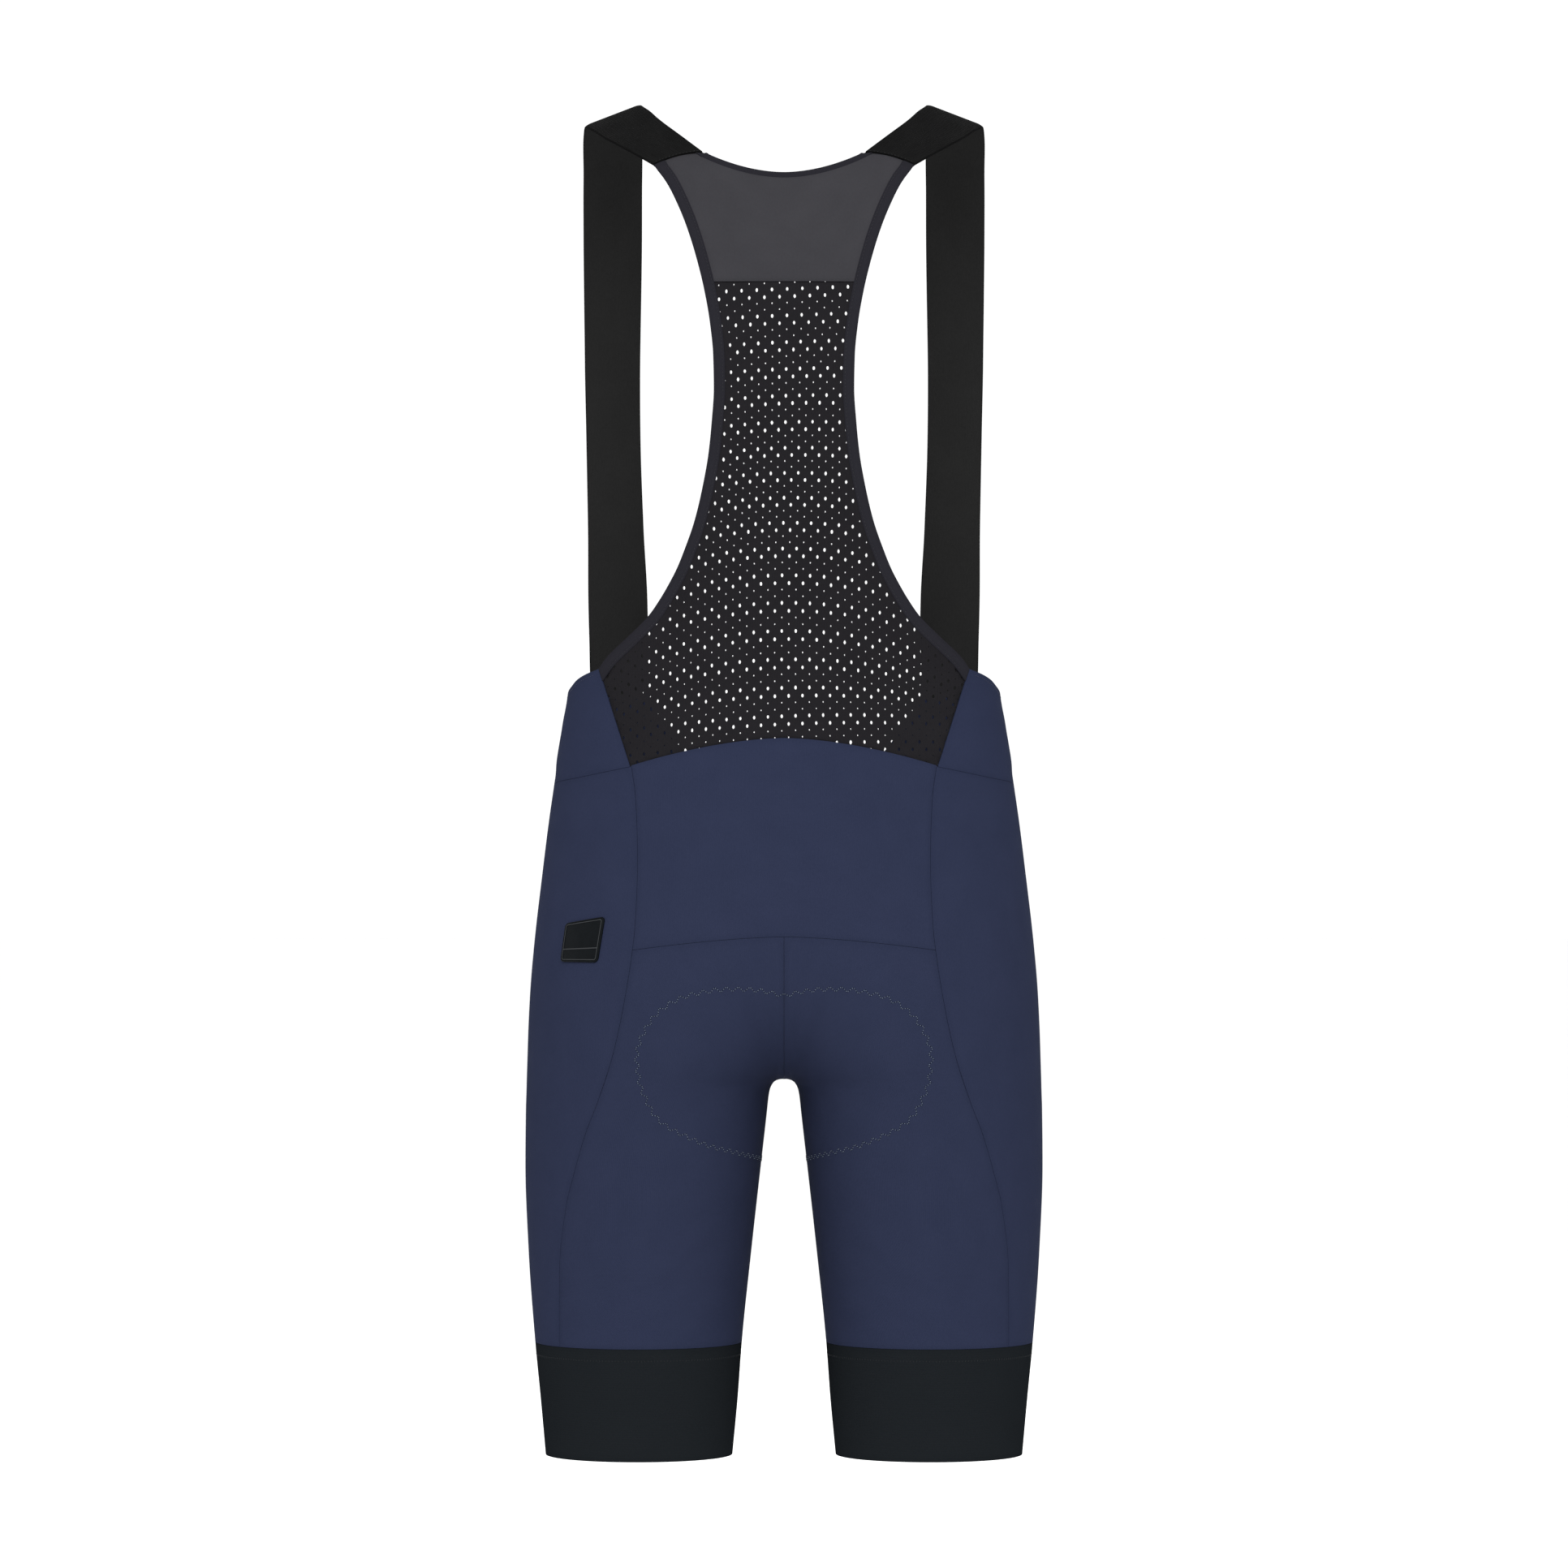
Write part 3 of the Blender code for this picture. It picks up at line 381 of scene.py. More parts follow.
def sums(look, operation, *values):
    return node(look, "Math", dict(enumerate(values)), operation=operation).outputs[0]


def noise(look, vector, scale, detail):
    return node(look, "TexNoise", {"Vector": vector, "Scale": scale, "Detail": detail}).outputs[0]


def finish(name, rough, gloss):
    """A new material, with how rough and how glossy it is."""
    look = bpy.data.materials.new(name)
    look.use_nodes = True
    shader = look.node_tree.nodes["Principled BSDF"]
    shader.inputs["Roughness"].default_value = rough
    shader.inputs["Specular IOR Level"].default_value = gloss
    return look


def show(look, socket, value):
    """Links a value to the material's shader."""
    look.node_tree.links.new(value, look.node_tree.nodes["Principled BSDF"].inputs[socket])


def dye(look, tone, colours, ends=(0.0, 1.0)):
    """Colours a material by a tone, from the first colour at one end to the second at the other."""
    ramp = node(look, "ValToRGB", {0: tone})
    for stop, end, colour in zip(ramp.color_ramp.elements, ends, colours):
        stop.position, stop.color = end, (*colour, 1)
    show(look, "Base Color", ramp.outputs[0])


def emboss(look, height, strength, deep, **over):
    """Raises a material's surface by a height, over an earlier relief's normal if there is one."""
    inputs = {"Strength": strength, "Distance": deep * MM, "Height": height, **over}
    bump = node(look, "Bump", inputs).outputs[0]
    show(look, "Normal", bump)
    return bump


def cloth_spot(look):
    """The place in the cloth, and its parts: across it, along it, and in from its nearest edge."""
    weave = node(look, "Attribute", attribute_name="weave").outputs["Vector"]
    return weave, *node(look, "SeparateXYZ", {0: weave}).outputs


def knit(name, colour, pale, rough=0.85, gloss=0.008, wale=0.9, course=0.75, relief=0.06,
         streak=0.4, mottle=0.5, rim=5.0, shade=0.18):
    """A knitted cloth: rows of small loops, threads that vary a little in colour, and edges that
    pucker within a rim, where the colour is darkened as painted shade. Colour goes to pale where
    the threads and clouds are lighter at random."""
    look = finish(name, rough, gloss)
    weave, across, along, inside = cloth_spot(look)
    turn = 2 * math.pi
    ribs = sums(look, "COSINE", sums(look, "MULTIPLY", across, turn / (wale * MM)))
    waves = sums(look, "MULTIPLY", ribs, 1.3)
    bent = sums(look, "MULTIPLY_ADD", along, turn / (course * MM), waves)
    loops = sums(look, "MULTIPLY_ADD", sums(look, "COSINE", bent), 0.6, ribs)
    stretched = node(look, "VectorMath", {0: weave, 1: (900, 900 / (1 + 3 * streak), 0)},
                     operation="MULTIPLY").outputs[0]
    threads = noise(look, stretched, 1.0, 3.0)
    clouds = noise(look, weave, 38.0, 4.0)
    tone = sums(look, "MULTIPLY_ADD", clouds, mottle, sums(look, "MULTIPLY", threads, 0.5))
    tone = sums(look, "MULTIPLY_ADD", loops, 0.05, tone)
    # Within the rim of each cut edge the colour is darkened by the shade: painted shade at seams
    # and edges.
    near_seam = node(look, "MapRange", {0: inside, 1: 0.0, 2: rim * MM, 3: 1.0, 4: 0.0},
                     interpolation_type="SMOOTHSTEP").outputs[0]
    dye(look, sums(look, "MULTIPLY_ADD", near_seam, -shade, tone), (colour, pale), (0.1, 0.9))
    roughness = node(look, "MapRange", {0: threads, 3: rough - 0.08, 4: rough + 0.08})
    show(look, "Roughness", roughness.outputs[0])
    fine = emboss(look, loops, 0.55, relief)
    puckers = sums(look, "MULTIPLY", noise(look, weave, 330.0, 1.0), near_seam)
    emboss(look, puckers, 0.5, 0.5, Normal=fine)
    return look


navy_knit = knit("navy_knit", (0.0144, 0.0182, 0.0375), (0.0194, 0.0239, 0.0485))


def gather(u):
    """Shares that lie closer together toward the far end."""
    return 1 - (1 - u) ** GATHER


def leg_angle(u, z, side):
    """The angle at a share from the side seam (0) to the centre or the inner leg (1)."""
    start = angle_at(side_seam_x(z) - HALF_GAP, z, side)
    return mix(start, centre_angle(z, side), gather(u))


def flatter_crotch(spots):
    """Draws the cloth down a little where four seams cross, and the crotch's arch is flat."""
    near = fade(spots[:, 2] - CROTCH, reach=5, full=1.6)
    drop = CROTCH_FLAT * near * np.exp(-((spots[:, 0] / CROTCH_FLAT_REACH) ** 2))
    return spots - np.stack([0 * drop, 0 * drop, drop], -1)


def leg_panel(side, inner_levels, side_levels, top_of):
    """A front or seat panel of the left leg: from its side seam (u = 0) to the centre (u = 1). Only
    its topmost rows bend to follow the seam above it."""
    coarse = len(inner_levels) - 1

    def place(u, v):
        outer = np.interp(v, np.linspace(0, 1, len(side_levels)), side_levels)
        level = mix(outer, np.interp(v, np.linspace(0, 1, coarse + 1), inner_levels), u * u)
        short_of_seam = top_of(u) - mix(side_levels[-1], inner_levels[-1], u * u)
        z = level + short_of_seam * v ** TOP_BEND
        return skin(leg_angle(u, z, side), z)

    bm = thicken(lay(LEG_COLUMNS, coarse * FINER_ROWS, place), CLOTH)
    for vertex in bm.verts:
        closed = (HALF_GAP - CROTCH_GAP) * float(fade(vertex.co.z - CROTCH, reach=8, full=1.5))
        vertex.co.x = max(vertex.co.x, HALF_GAP) - closed
    put(bm.verts, flatter_crotch(spots_of(bm.verts)))
    return bm


def bowed(x, middle, rise, at, bend):
    """The height of a seam that is level at its middle and has risen so far at a distance."""
    return middle + rise * (np.abs(x) / at) ** bend


def seat_seam_z(x):
    return bowed(x, *SEAT_SEAM)


def seat_top(u):
    z = np.full(np.shape(u), SEAT_SEAM[0])
    for _ in range(4):
        z = seat_seam_z(skin(leg_angle(u, z, 1), z)[..., 0])
    return z


ABOVE_CROTCH = -640
CROTCH = float(ABOVE_CROTCH - crossing(
    lambda d: outside(HALF_GAP, middle_of(ABOVE_CROTCH - d)[1], ABOVE_CROTCH - d), 0.0, 20.0
))
SEAT_CORNER = float(seat_seam_z(side_seam_x(SEAT_SEAM_SIDE)))
SIDE_BACK_LEVELS = np.concatenate([
    np.linspace(BAND_TOP + HALF_GAP, SEAT_CORNER, SEAT_ROWS + 1)[:-1],
    np.linspace(SEAT_CORNER, HIP_CORNER_LOW[1], WAIST_ROWS + 1),
])


def centre_levels(above, top):
    """The heights of a leg panel's rows along its inner edge."""
    below = [CROTCH - drop for drop in BELOW_CROTCH]
    return [BAND_TOP + HALF_GAP] + below + [CROTCH + rise for rise in above] + [float(top)]


def seam_line(place, count):
    """Points along a seam, for a share from 0 to 1."""
    return place(np.linspace(0, 1, count))


def across_and_out(path):
    """The directions across a path on the cloth, and out of the cloth, at each point."""
    out = outward(path)
    return unit(np.cross(unit(np.gradient(path, axis=0)), out)), out


def add_to(whole, bm):
    mesh = bpy.data.meshes.new("part")
    bm.to_mesh(mesh)
    whole.from_mesh(mesh)
    bpy.data.meshes.remove(mesh)


def inner_seam(paths, name, look, slot, mirror=True):
    """The flat seam's threads just inside the cloth, as narrow bands that close the joint."""
    whole = bmesh.new()
    for path in paths:
        across, out = across_and_out(path)

        def place(u, v):
            i = np.rint(v * (len(path) - 1)).astype(int)
            aside = across[i] * SEAM_WIDTH * (u - 0.5)[:, None]
            return path[i] + aside - out[i] * (CLOTH + SEAM_UNDER)

        bm = thicken(lay(4, len(path) - 1, place), SEAM_THICK, edge=0.2, steps=1)
        add_to(whole, bm)
        bm.free()
    return (pair if mirror else make)(whole, name, look, slot)


def threads(name, colour):
    """Sewing thread laid side by side, in a zigzag from edge to edge of a flat seam."""
    look = finish(name, 0.5, 0.2)
    _, across, along, _ = cloth_spot(look)
    swing = sums(look, "PINGPONG", sums(look, "MULTIPLY", across, 1000.0), 1.25)
    steps = sums(look, "MULTIPLY_ADD", along, 2 * math.pi / (1.1 * MM), swing)
    lines = sums(look, "COSINE", steps)
    dye(look, lines, ([0.45 * c for c in colour], colour))
    emboss(look, lines, 0.8, 0.25)
    return look


navy_thread = threads("navy_thread", (0.045, 0.055, 0.11))
SEAT_SIDE_LEVELS = SIDE_BACK_LEVELS[: SEAT_ROWS + 1]
seat_levels = centre_levels(ABOVE_CROTCH_BACK, seat_top(np.array(1.0)))
seat_panels = pair(
    leg_panel(1, seat_levels, SEAT_SIDE_LEVELS, lambda u: seat_top(u) - HALF_GAP),
    "seat_panel", navy_knit, "navy_knit", "seat",
)


def inner_leg(share):
    z = mix(BAND_TOP, CROTCH - INNER_LEG_END, share)
    return skin(np.full(share.shape, math.pi), z)


def side_back(share):
    z = mix(BAND_TOP, HIP_CORNER_LOW[1], share)
    return skin_at(side_seam_x(z), z, 1)


def seat_line(share):
    x = side_seam_x(SEAT_SEAM_SIDE) * share
    return skin_at(x, seat_seam_z(x), 1)


def centre_line(top, side):
    def at(share):
        z = mix(CROTCH + CENTRE_START, top, share)
        return skin_at(0 * z, z, side)

    return at


def sew(path, pitch, stitch, thick, swing=0.0, period=1.0, reach=0.0, first=0.5, whole=None):
    """Lays small stitches along a path on the cloth, the first one a share of a pitch along it. The
    path can swing from side to side, and each stitch can reach across it."""
    whole = bmesh.new() if whole is None else whole
    across, out = across_and_out(path)
    lengths = lengths_along(path)

    def at(s, beside):
        sway = swing * (4 * np.abs((s / period) % 1 - 0.5) - 1) + beside
        return between(s, lengths, path) + between(s, lengths, across) * sway[:, None]

    middles = np.arange(pitch * first, lengths[-1] - pitch / 2, pitch)
    starts, ends = at(middles - stitch / 2, -reach / 2), at(middles + stitch / 2, reach / 2)
    for start, end, up in zip(starts, ends, between(middles, lengths, out)):
        long = np.linalg.norm(end - start)
        way = (end - start) / long
        side = np.cross(up, way)
        place = Matrix.Identity(4)
        for row in range(3):
            place[row][:] = (
                way[row] * long / 2, side[row] * thick / 2, up[row] * thick / 2,
                (start[row] + end[row]) / 2 + up[row] * thick * STITCH_PROUD,
            )
        bmesh.ops.create_icosphere(whole, subdivisions=1, radius=1.0, matrix=place)
    return whole


def twist(name, colour, pale, gloss=0.25):
    """A single thread, plied, with light and dark along it."""
    look = finish(name, 0.5, gloss)
    plies = noise(look, node(look, "TexCoord").outputs["Object"], 2600.0, 1.0)
    dye(look, plies, (colour, pale), (0.35, 0.65))
    emboss(look, plies, 0.4, 0.1)
    return look


def crotch_line(share):
    """Under the crotch on the centre plane, from back to front."""
    across = 2 * share - 1
    z = CROTCH + CROTCH_LINE_RISE * across ** 2
    back, front = skin_at(0 * z, z, 1), skin_at(0 * z, z, -1)
    return flatter_crotch(np.where(across[:, None] < 0, back, front))


seat_seams = inner_seam(
    [seam_line(inner_leg, 60), seam_line(side_back, 120), seam_line(seat_line, 40)],
    "seat_seam", navy_thread, "navy_knit",
)
inner_seam(
    [seam_line(centre_line(seat_seam_z(0.0), 1), 40)], "centre_back_seam", navy_thread, "navy_knit",
    mirror=False,
)
navy_stitch = twist("navy_stitch", (0.010, 0.012, 0.024), (0.026, 0.031, 0.058))
make(
    sew(seam_line(crotch_line, 81), pitch=0.7, stitch=0.9, thick=0.3),
    "crotch_stitches", navy_stitch, "navy_knit",
)

# Front panels
# The two panels down the front of the thighs, from the waist to the leg bands, with a seam at the
# centre front and one down each inner leg. They are the same navy knit, flat-seamed all round.

ABOVE_CROTCH_FRONT = [0.15, 0.5, 1.2, 2.4, 4, 9, 18, 31, 46, 63, 81, 99, 116, 133, 149, 165]
SIDE_ROWS = SEAT_ROWS + WAIST_ROWS
# Round the front waist piece, from the centre front back: degrees, its top edge and its seam.
FRONT_WAIST = [
    (-90, -454, -470), (-84, -453.7, -470), (-76, -452.4, -469.6),
    (-68, -449.8, -468.9), (-60, -443.8, -468), (-52, -430, -466.8),
    (-46, -412, -465.5), (-42, -399.5, -464.5), (-38.6, -393.8, -463.7),
    (-34, -393.1, -462.7), (-25, -393, -460.5), (0, -391.3, -453.5), (8, -387, -451.5),
    (12.7, -382.3, -450.3), (17.7, -378.5, -449), (22.6, -375.4, -447.2), (37, -360, -440.8),
]
CENTRE_FRONT = -90.0
HIP_SEAM_END = 36.0
waist_curve = smooth_table(FRONT_WAIST)


def waist_top(degrees):
    return waist_curve(degrees)[..., 0]


def waist_seam(degrees):
    return waist_curve(degrees)[..., 1]


side_front_top = HIP_CORNER_LOW[1]
for _ in range(8):
    front_angle = angle_at(side_seam_x(side_front_top), side_front_top, -1)
    side_front_top = waist_seam(np.degrees(front_angle))
SIDE_FRONT_LEVELS = np.linspace(BAND_TOP + HALF_GAP, side_front_top - HALF_GAP, SIDE_ROWS + 1)


def front_top(u):
    z = np.full(np.shape(u), SIDE_FRONT_LEVELS[-1])
    for _ in range(4):
        z = waist_seam(np.degrees(leg_angle(u, z, -1)))
    return z


front_levels = centre_levels(ABOVE_CROTCH_FRONT, front_top(np.array(1.0)))
front_panels = pair(
    leg_panel(-1, front_levels, SIDE_FRONT_LEVELS, lambda u: front_top(u) - HALF_GAP),
    "front_panel", navy_knit, "navy_knit", "front",
)


def side_front(share):
    z = mix(BAND_TOP, float(side_front_top), share)
    return skin_at(side_seam_x(z), z, -1)


def front_waist_line(share):
    degrees = mix(CENTRE_FRONT, HIP_SEAM_END, share)
    return skin(np.radians(degrees), waist_seam(degrees))


front_seams = inner_seam(
    [seam_line(side_front, 120), seam_line(front_waist_line, 90)],
    "front_seam", navy_thread, "navy_knit",
)
inner_seam(
    [seam_line(centre_line(FRONT_WAIST[0][2], -1), 60)],
    "centre_front_seam", navy_thread, "navy_knit", mirror=False,
)

# Side panels
# One panel down the outside of each leg, between the side-front and side-back seams, and narrowing
# at the hip. The same navy knit, with its wales running down the leg.

SIDE_COLUMNS = 32
SIDE_TOP_BEND = 12


def side_angle(u, z):
    """The angle at a share from the side-back seam (0) to the side-front one (1)."""
    x = side_seam_x(z) + HALF_GAP
    return mix(angle_at(x, z, 1), angle_at(x, z, -1), u)


def side_top(u):
    z = mix(HIP_CORNER_LOW[1], SIDE_FRONT_LEVELS[-1], u)
    for _ in range(4):
        z = waist_seam(np.degrees(side_angle(u, z)))
    return z


def side_place(u, v):
    row = v * SIDE_ROWS
    back, front = (np.interp(row, np.arange(SIDE_ROWS + 1), levels)
                   for levels in (SIDE_BACK_LEVELS, SIDE_FRONT_LEVELS))
    short_of_seam = side_top(u) - HALF_GAP - mix(SIDE_BACK_LEVELS[-1], SIDE_FRONT_LEVELS[-1], u)
    z = mix(back, front, u) + short_of_seam * v ** SIDE_TOP_BEND
    return skin(side_angle(u, z), z)


side_panels = pair(
    thicken(lay(SIDE_COLUMNS, SIDE_ROWS * FINER_ROWS, side_place), CLOTH),
    "side_panel", navy_knit, "navy_knit", "side",
)

# Back waist panel
# The panel across the small of the back, between the open-work back and the seat. Navy knit, cut on
# an arc at its upper edge, and seamed to its neighbours on all four sides.

WAIST_ARC = (-422.0, -18.5, 103.0, 1.7)


def waist_seam_z(x):
    return bowed(x, *WAIST_ARC)


def on_back(flat):
    return skin_at(flat[:, 0], flat[:, 1], 1)


def patch(bottom, top, left, right, lay_down=on_back):
    """Cloth inside four edges that are drawn as (x, z) on the back, and laid on the body."""
    start, end = np.zeros(1), np.ones(1)

    def place(u, v):
        s, t = u[:, None], v[:, None]
        flat = left(v) * (1 - s) + right(v) * s + bottom(u) * (1 - t) + top(u) * t
        flat -= (left(start) * (1 - t) + left(end) * t) * (1 - s)
        flat -= (right(start) * (1 - t) + right(end) * t) * s
        return lay_down(flat)

    return place


def flip(edge):
    """The same edge on the other side of the centre plane."""
    return lambda v: edge(v) * (-1, 1)


def waist_side(v):
    z = mix(SEAT_CORNER + HALF_GAP, HIP_CORNER_LOW[1] - HALF_GAP, v)
    return np.stack([side_seam_x(z) - HALF_GAP, z], -1)


def waist_bottom(u):
    share = 1 - np.abs(2 * u - 1)
    level = seat_top(share)
    x = np.where(share < 1, skin(leg_angle(share, level, 1), level)[..., 0], 0.0)
    return np.stack([np.copysign(x, u - 0.5), seat_seam_z(x) + HALF_GAP], -1)


def waist_arc(u):
    end = waist_side(np.ones(1))[0, 0]
    x = mix(-end, end, u)
    return np.stack([x, waist_seam_z(x) - HALF_GAP], -1)


waist_patch = patch(waist_bottom, waist_arc, flip(waist_side), waist_side)
back_waist = make(
    thicken(lay(64, 40, waist_patch), CLOTH),
    "back_waist_panel", navy_knit, "navy_knit", "back_waist",
)

# Front waist piece
# The piece that rises round the belly and the hips, from one side of the open-work back to the
# other. Navy knit with a cut top edge, held down by one row of stitches.

FRONT_HALF_COLUMNS = 16
WAIST_ROW_DOWN = 3.0
WAIST_ROW_END = 21.5


def hip_edge_x(z):
    """The piece's back edge, where it meets the open-work back."""
    (top_x, top_z), (low_x, low_z) = HIP_CORNER_TOP, HIP_CORNER_LOW
    return mix(low_x, top_x, (z - low_z) / (top_z - low_z))


def waist_ends(z):
    """The angles of the centre front and of the edge at the open-work back."""
    centre, edge = angle_at(0.0 * z, z, -1), angle_at(hip_edge_x(z) + HALF_GAP, z, 1)
    return np.degrees(centre), np.degrees(edge)


# The columns follow those of the panels below, so that both edges of the seam run alike.
share = np.linspace(1, 0, FRONT_HALF_COLUMNS // 2 + 1)[:-1]
seam_degrees = np.degrees(np.concatenate([
    leg_angle(share, front_top(share), -1), side_angle(share, side_top(share)),
]))
seam_start = waist_ends(waist_seam(seam_degrees))[0]
seam_end = waist_ends(np.array(HIP_CORNER_LOW[1]))[1]
waist_shares = np.append((seam_degrees - seam_start) / (seam_end - seam_start), 1.0)
waist_shares[0] = 0.0


def front_waist_place(u, v):
    column = np.abs(2 * u - 1) * FRONT_HALF_COLUMNS
    share = np.interp(column, np.arange(FRONT_HALF_COLUMNS + 1), waist_shares)
    z = mix(HIP_CORNER_LOW[1], HIP_CORNER_TOP[1], v)
    for _ in range(4):
        degrees = mix(*waist_ends(z), share)
        z = mix(waist_seam(degrees) + HALF_GAP, waist_top(degrees), v)
    spots = skin(np.radians(degrees), z)
    spots[:, 0] *= np.where(u < 0.5, -1, 1)
    return spots


front_waist = make(
    thicken(lay(4 * 2 * FRONT_HALF_COLUMNS, 20, front_waist_place), CLOTH),
    "front_waist_piece", navy_knit, "navy_knit", "front_waist",
)


def waist_row(share):
    degrees = mix(CENTRE_FRONT, WAIST_ROW_END, share)
    return skin(np.radians(degrees), waist_top(degrees) - WAIST_ROW_DOWN)


waist_stitches = pair(
    sew(seam_line(waist_row, 200), pitch=2.6, stitch=1.9, thick=0.3),
    "waist_stitches", navy_stitch, "navy_knit",
)

# Leg bands
# A wide band of smooth black elastic round each hem, raw cut at the bottom, joined up the inner
# leg, and sewn to the panels with a row of stitches that presses through just below the seam.

BAND_ROW_DOWN = 8.0
BAND_JOIN = 0.02
band_elastic = knit("black_band", (0.0071, 0.0086, 0.0101), (0.0102, 0.0117, 0.0135), rough=0.8,
                    gloss=0.0, wale=0.7, course=1.6, relief=0.05, streak=0.2, mottle=0.3)
band_thread = twist("band_thread", (0.0050, 0.0058, 0.0066), (0.0115, 0.0130, 0.0148))
black_thread = threads("black_thread", (0.012, 0.012, 0.014))


def band_place(u, v):
    z = mix(HEM, BAND_TOP - HALF_GAP, v)
    reach = HALF_GAP / (middle_of(z)[0] - body_at(z)[..., 1])
    return skin(mix(-math.pi + reach, math.pi - reach, u), z)


leg_bands = pair(
    thicken(lay(112, 14, band_place), CLOTH),
    "leg_band_elastic", band_elastic, "black_band", "leg_band",
)


def round_leg(z, short=0.0):
    """Round the leg at a height, from the inner leg and back to it, or a little short of it."""
    return lambda share: skin(mix(short - math.pi, math.pi - short, share), np.full(share.shape, z))


band_stitches = pair(
    sew(seam_line(round_leg(BAND_TOP - BAND_ROW_DOWN, BAND_JOIN), 200),
        pitch=2.2, stitch=0.15, thick=0.26, reach=1.4),
    "band_stitches", band_thread, "black_band",
)
band_seams = inner_seam(
    [seam_line(round_leg(BAND_TOP), 160)], "band_seam", black_thread, "black_band"
)

# Armhole bindings
# A soft black tape folded over the cut edge of the back on each side, from the strap down to the
# hip, with its fold outwards and both lips held by one fine row of stitches.

ARMHOLE = [
    (-375.4, 124.7), (-367.8, 119.2), (-355.2, 105.8), (-341, 91.3), (-330.3, 83.6), (-319.6, 77.2),
    (-308.9, 71.6), (-298.3, 67.2), (-276.8, 59.6), (-253.9, 54.1), (-232.6, 50.3), (-211.3, 48.1),
    (-189.8, 46.7), (-168.5, 47.1), (-146.9, 49.2), (-125.4, 52.9), (-103.5, 58.2), (-81.6, 65),
    (-59.3, 74.3), (-50.2, 79.2), (-38.7, 87.5),
]
ARMHOLE_BINDING = 7.7
BINDING_CLOTH = 2.0
BINDING_PROUD = 0.4
BINDING_LIP = 0.75
YOKE_ROWS = 5
MESH_ROWS = 14
YOKE_SHARE = 0.2433
STRAP_WALL = 1.6
STRAP_UNDER = 1.2
CLEAR_OF_STRAP = 0.05
STRAP_SEAM_NECK = np.array((54.4, -29.7))
STRAP_SEAM_ARM = np.array((87.5, -38.7))
STRAP_SEAM_ARCH = 2.0
BINDING_ROW_IN = 1.5

binding_z = np.linspace(STRAP_SEAM_ARM[1], HIP_CORNER_TOP[1], 601)
binding_edge = np.stack([smooth_table(ARMHOLE)(binding_z)[:, 0], binding_z], -1)
binding_length = lengths_along(binding_edge)
station_at = np.append(
    np.linspace(0, YOKE_SHARE, YOKE_ROWS + 1)[:-1], np.linspace(YOKE_SHARE, 1, MESH_ROWS + 1)
)
stations = between(station_at * binding_length[-1], binding_length, binding_edge)
run = np.vstack([
    stations[1:2] - stations[:1], stations[2:] - stations[:-2], stations[-1:] - stations[-2:-1]
])
into_cloth = unit(np.stack([run[:, 1], -run[:, 0]], -1))
HIP_CUT = np.subtract(HIP_CORNER_LOW, HIP_CORNER_TOP)
for end, cut in ((0, STRAP_SEAM_NECK - STRAP_SEAM_ARM), (-1, HIP_CUT)):
    into_cloth[end] = cut / cut.dot(into_cloth[end])


def binding_spot(down, inwards):
    """A point (x, z) of the back, a share down the armhole's edge and so far in from it."""
    edge = between(down * binding_length[-1], binding_length, binding_edge)
    return edge + between(down, station_at, into_cloth) * np.expand_dims(inwards, -1)


def strap_seam_arch(share):
    return STRAP_SEAM_ARCH * 4 * share * (1 - share)


def tucked(flat):
    """Points (x, z) of the back, laid on the body and, near a strap's end, run in under it."""
    seam = STRAP_SEAM_ARM - STRAP_SEAM_NECK
    length = np.linalg.norm(seam)
    from_neck = np.stack([np.abs(flat[:, 0]), flat[:, 1]], -1) - STRAP_SEAM_NECK
    arch = strap_seam_arch(np.clip(from_neck @ seam / length ** 2, 0, 1))
    over = from_neck @ np.array((-seam[1], seam[0])) / length
    up = (STRAP_UNDER + arch) * smooth_step(1 + over / 4)
    side = np.copysign(-seam[1] / length, flat[:, 0])
    spots = skin_at(flat[:, 0] + side * up, flat[:, 1] + seam[0] / length * up, 1)
    deep = STRAP_WALL + BINDING_PROUD + CLEAR_OF_STRAP
    return spots - outward(spots) * (deep * smooth_step(1 + (over + up - arch) / 1.3))[:, None]


def binding_place(u, v):
    return tucked(binding_spot(1 - v, ARMHOLE_BINDING * u))


def bind(columns, rows, place):
    """Tape folded over an edge, with rounded lips."""
    flat = lay(columns, rows, place)
    return thicken(flat, BINDING_CLOTH, proud=BINDING_PROUD, edge=BINDING_LIP, steps=3)


binding_tape = knit("black_binding", (0.0119, 0.0116, 0.0148), (0.0168, 0.0165, 0.0206),
                    wale=0.8, course=0.8, relief=0.05, streak=0.3, mottle=0.4)
black_stitch = twist("black_stitch", (0.006, 0.006, 0.007), (0.02, 0.021, 0.024))
bindings = pair(
    bind(8, 150, binding_place), "armhole_tape", binding_tape, "black_elastic", "armhole_binding"
)


def binding_row(share):
    inwards = np.full(share.shape, ARMHOLE_BINDING - BINDING_ROW_IN)
    spots = on_back(binding_spot(mix(0.01, 0.985, share), inwards))
    return spots + outward(spots) * BINDING_PROUD


binding_stitches = pair(
    sew(seam_line(binding_row, 200), pitch=2.4, stitch=1.7, thick=0.26),
    "armhole_stitches", black_stitch, "black_elastic",
)

# Back mesh
# One panel of open-work black knit down the back. Its eyelets come in pairs of rows, two of large
# ones and two of small ones, half a step apart. Its edges lie under the yoke, the waist and the
# bindings.

MESH_WALL = 0.7
MESH_DEEP = 0.25
MESH_UNDER = 3.0
LARGE_EYELET = (1.7, 2.55)
SMALL_EYELET = (0.78, 1.12)
# Down the back: pair of rows, and height.
EYELET_ROWS = [(-3, -77), (0, -129.4), (5, -217.4), (10, -301), (16, -412.8), (20, -487)]
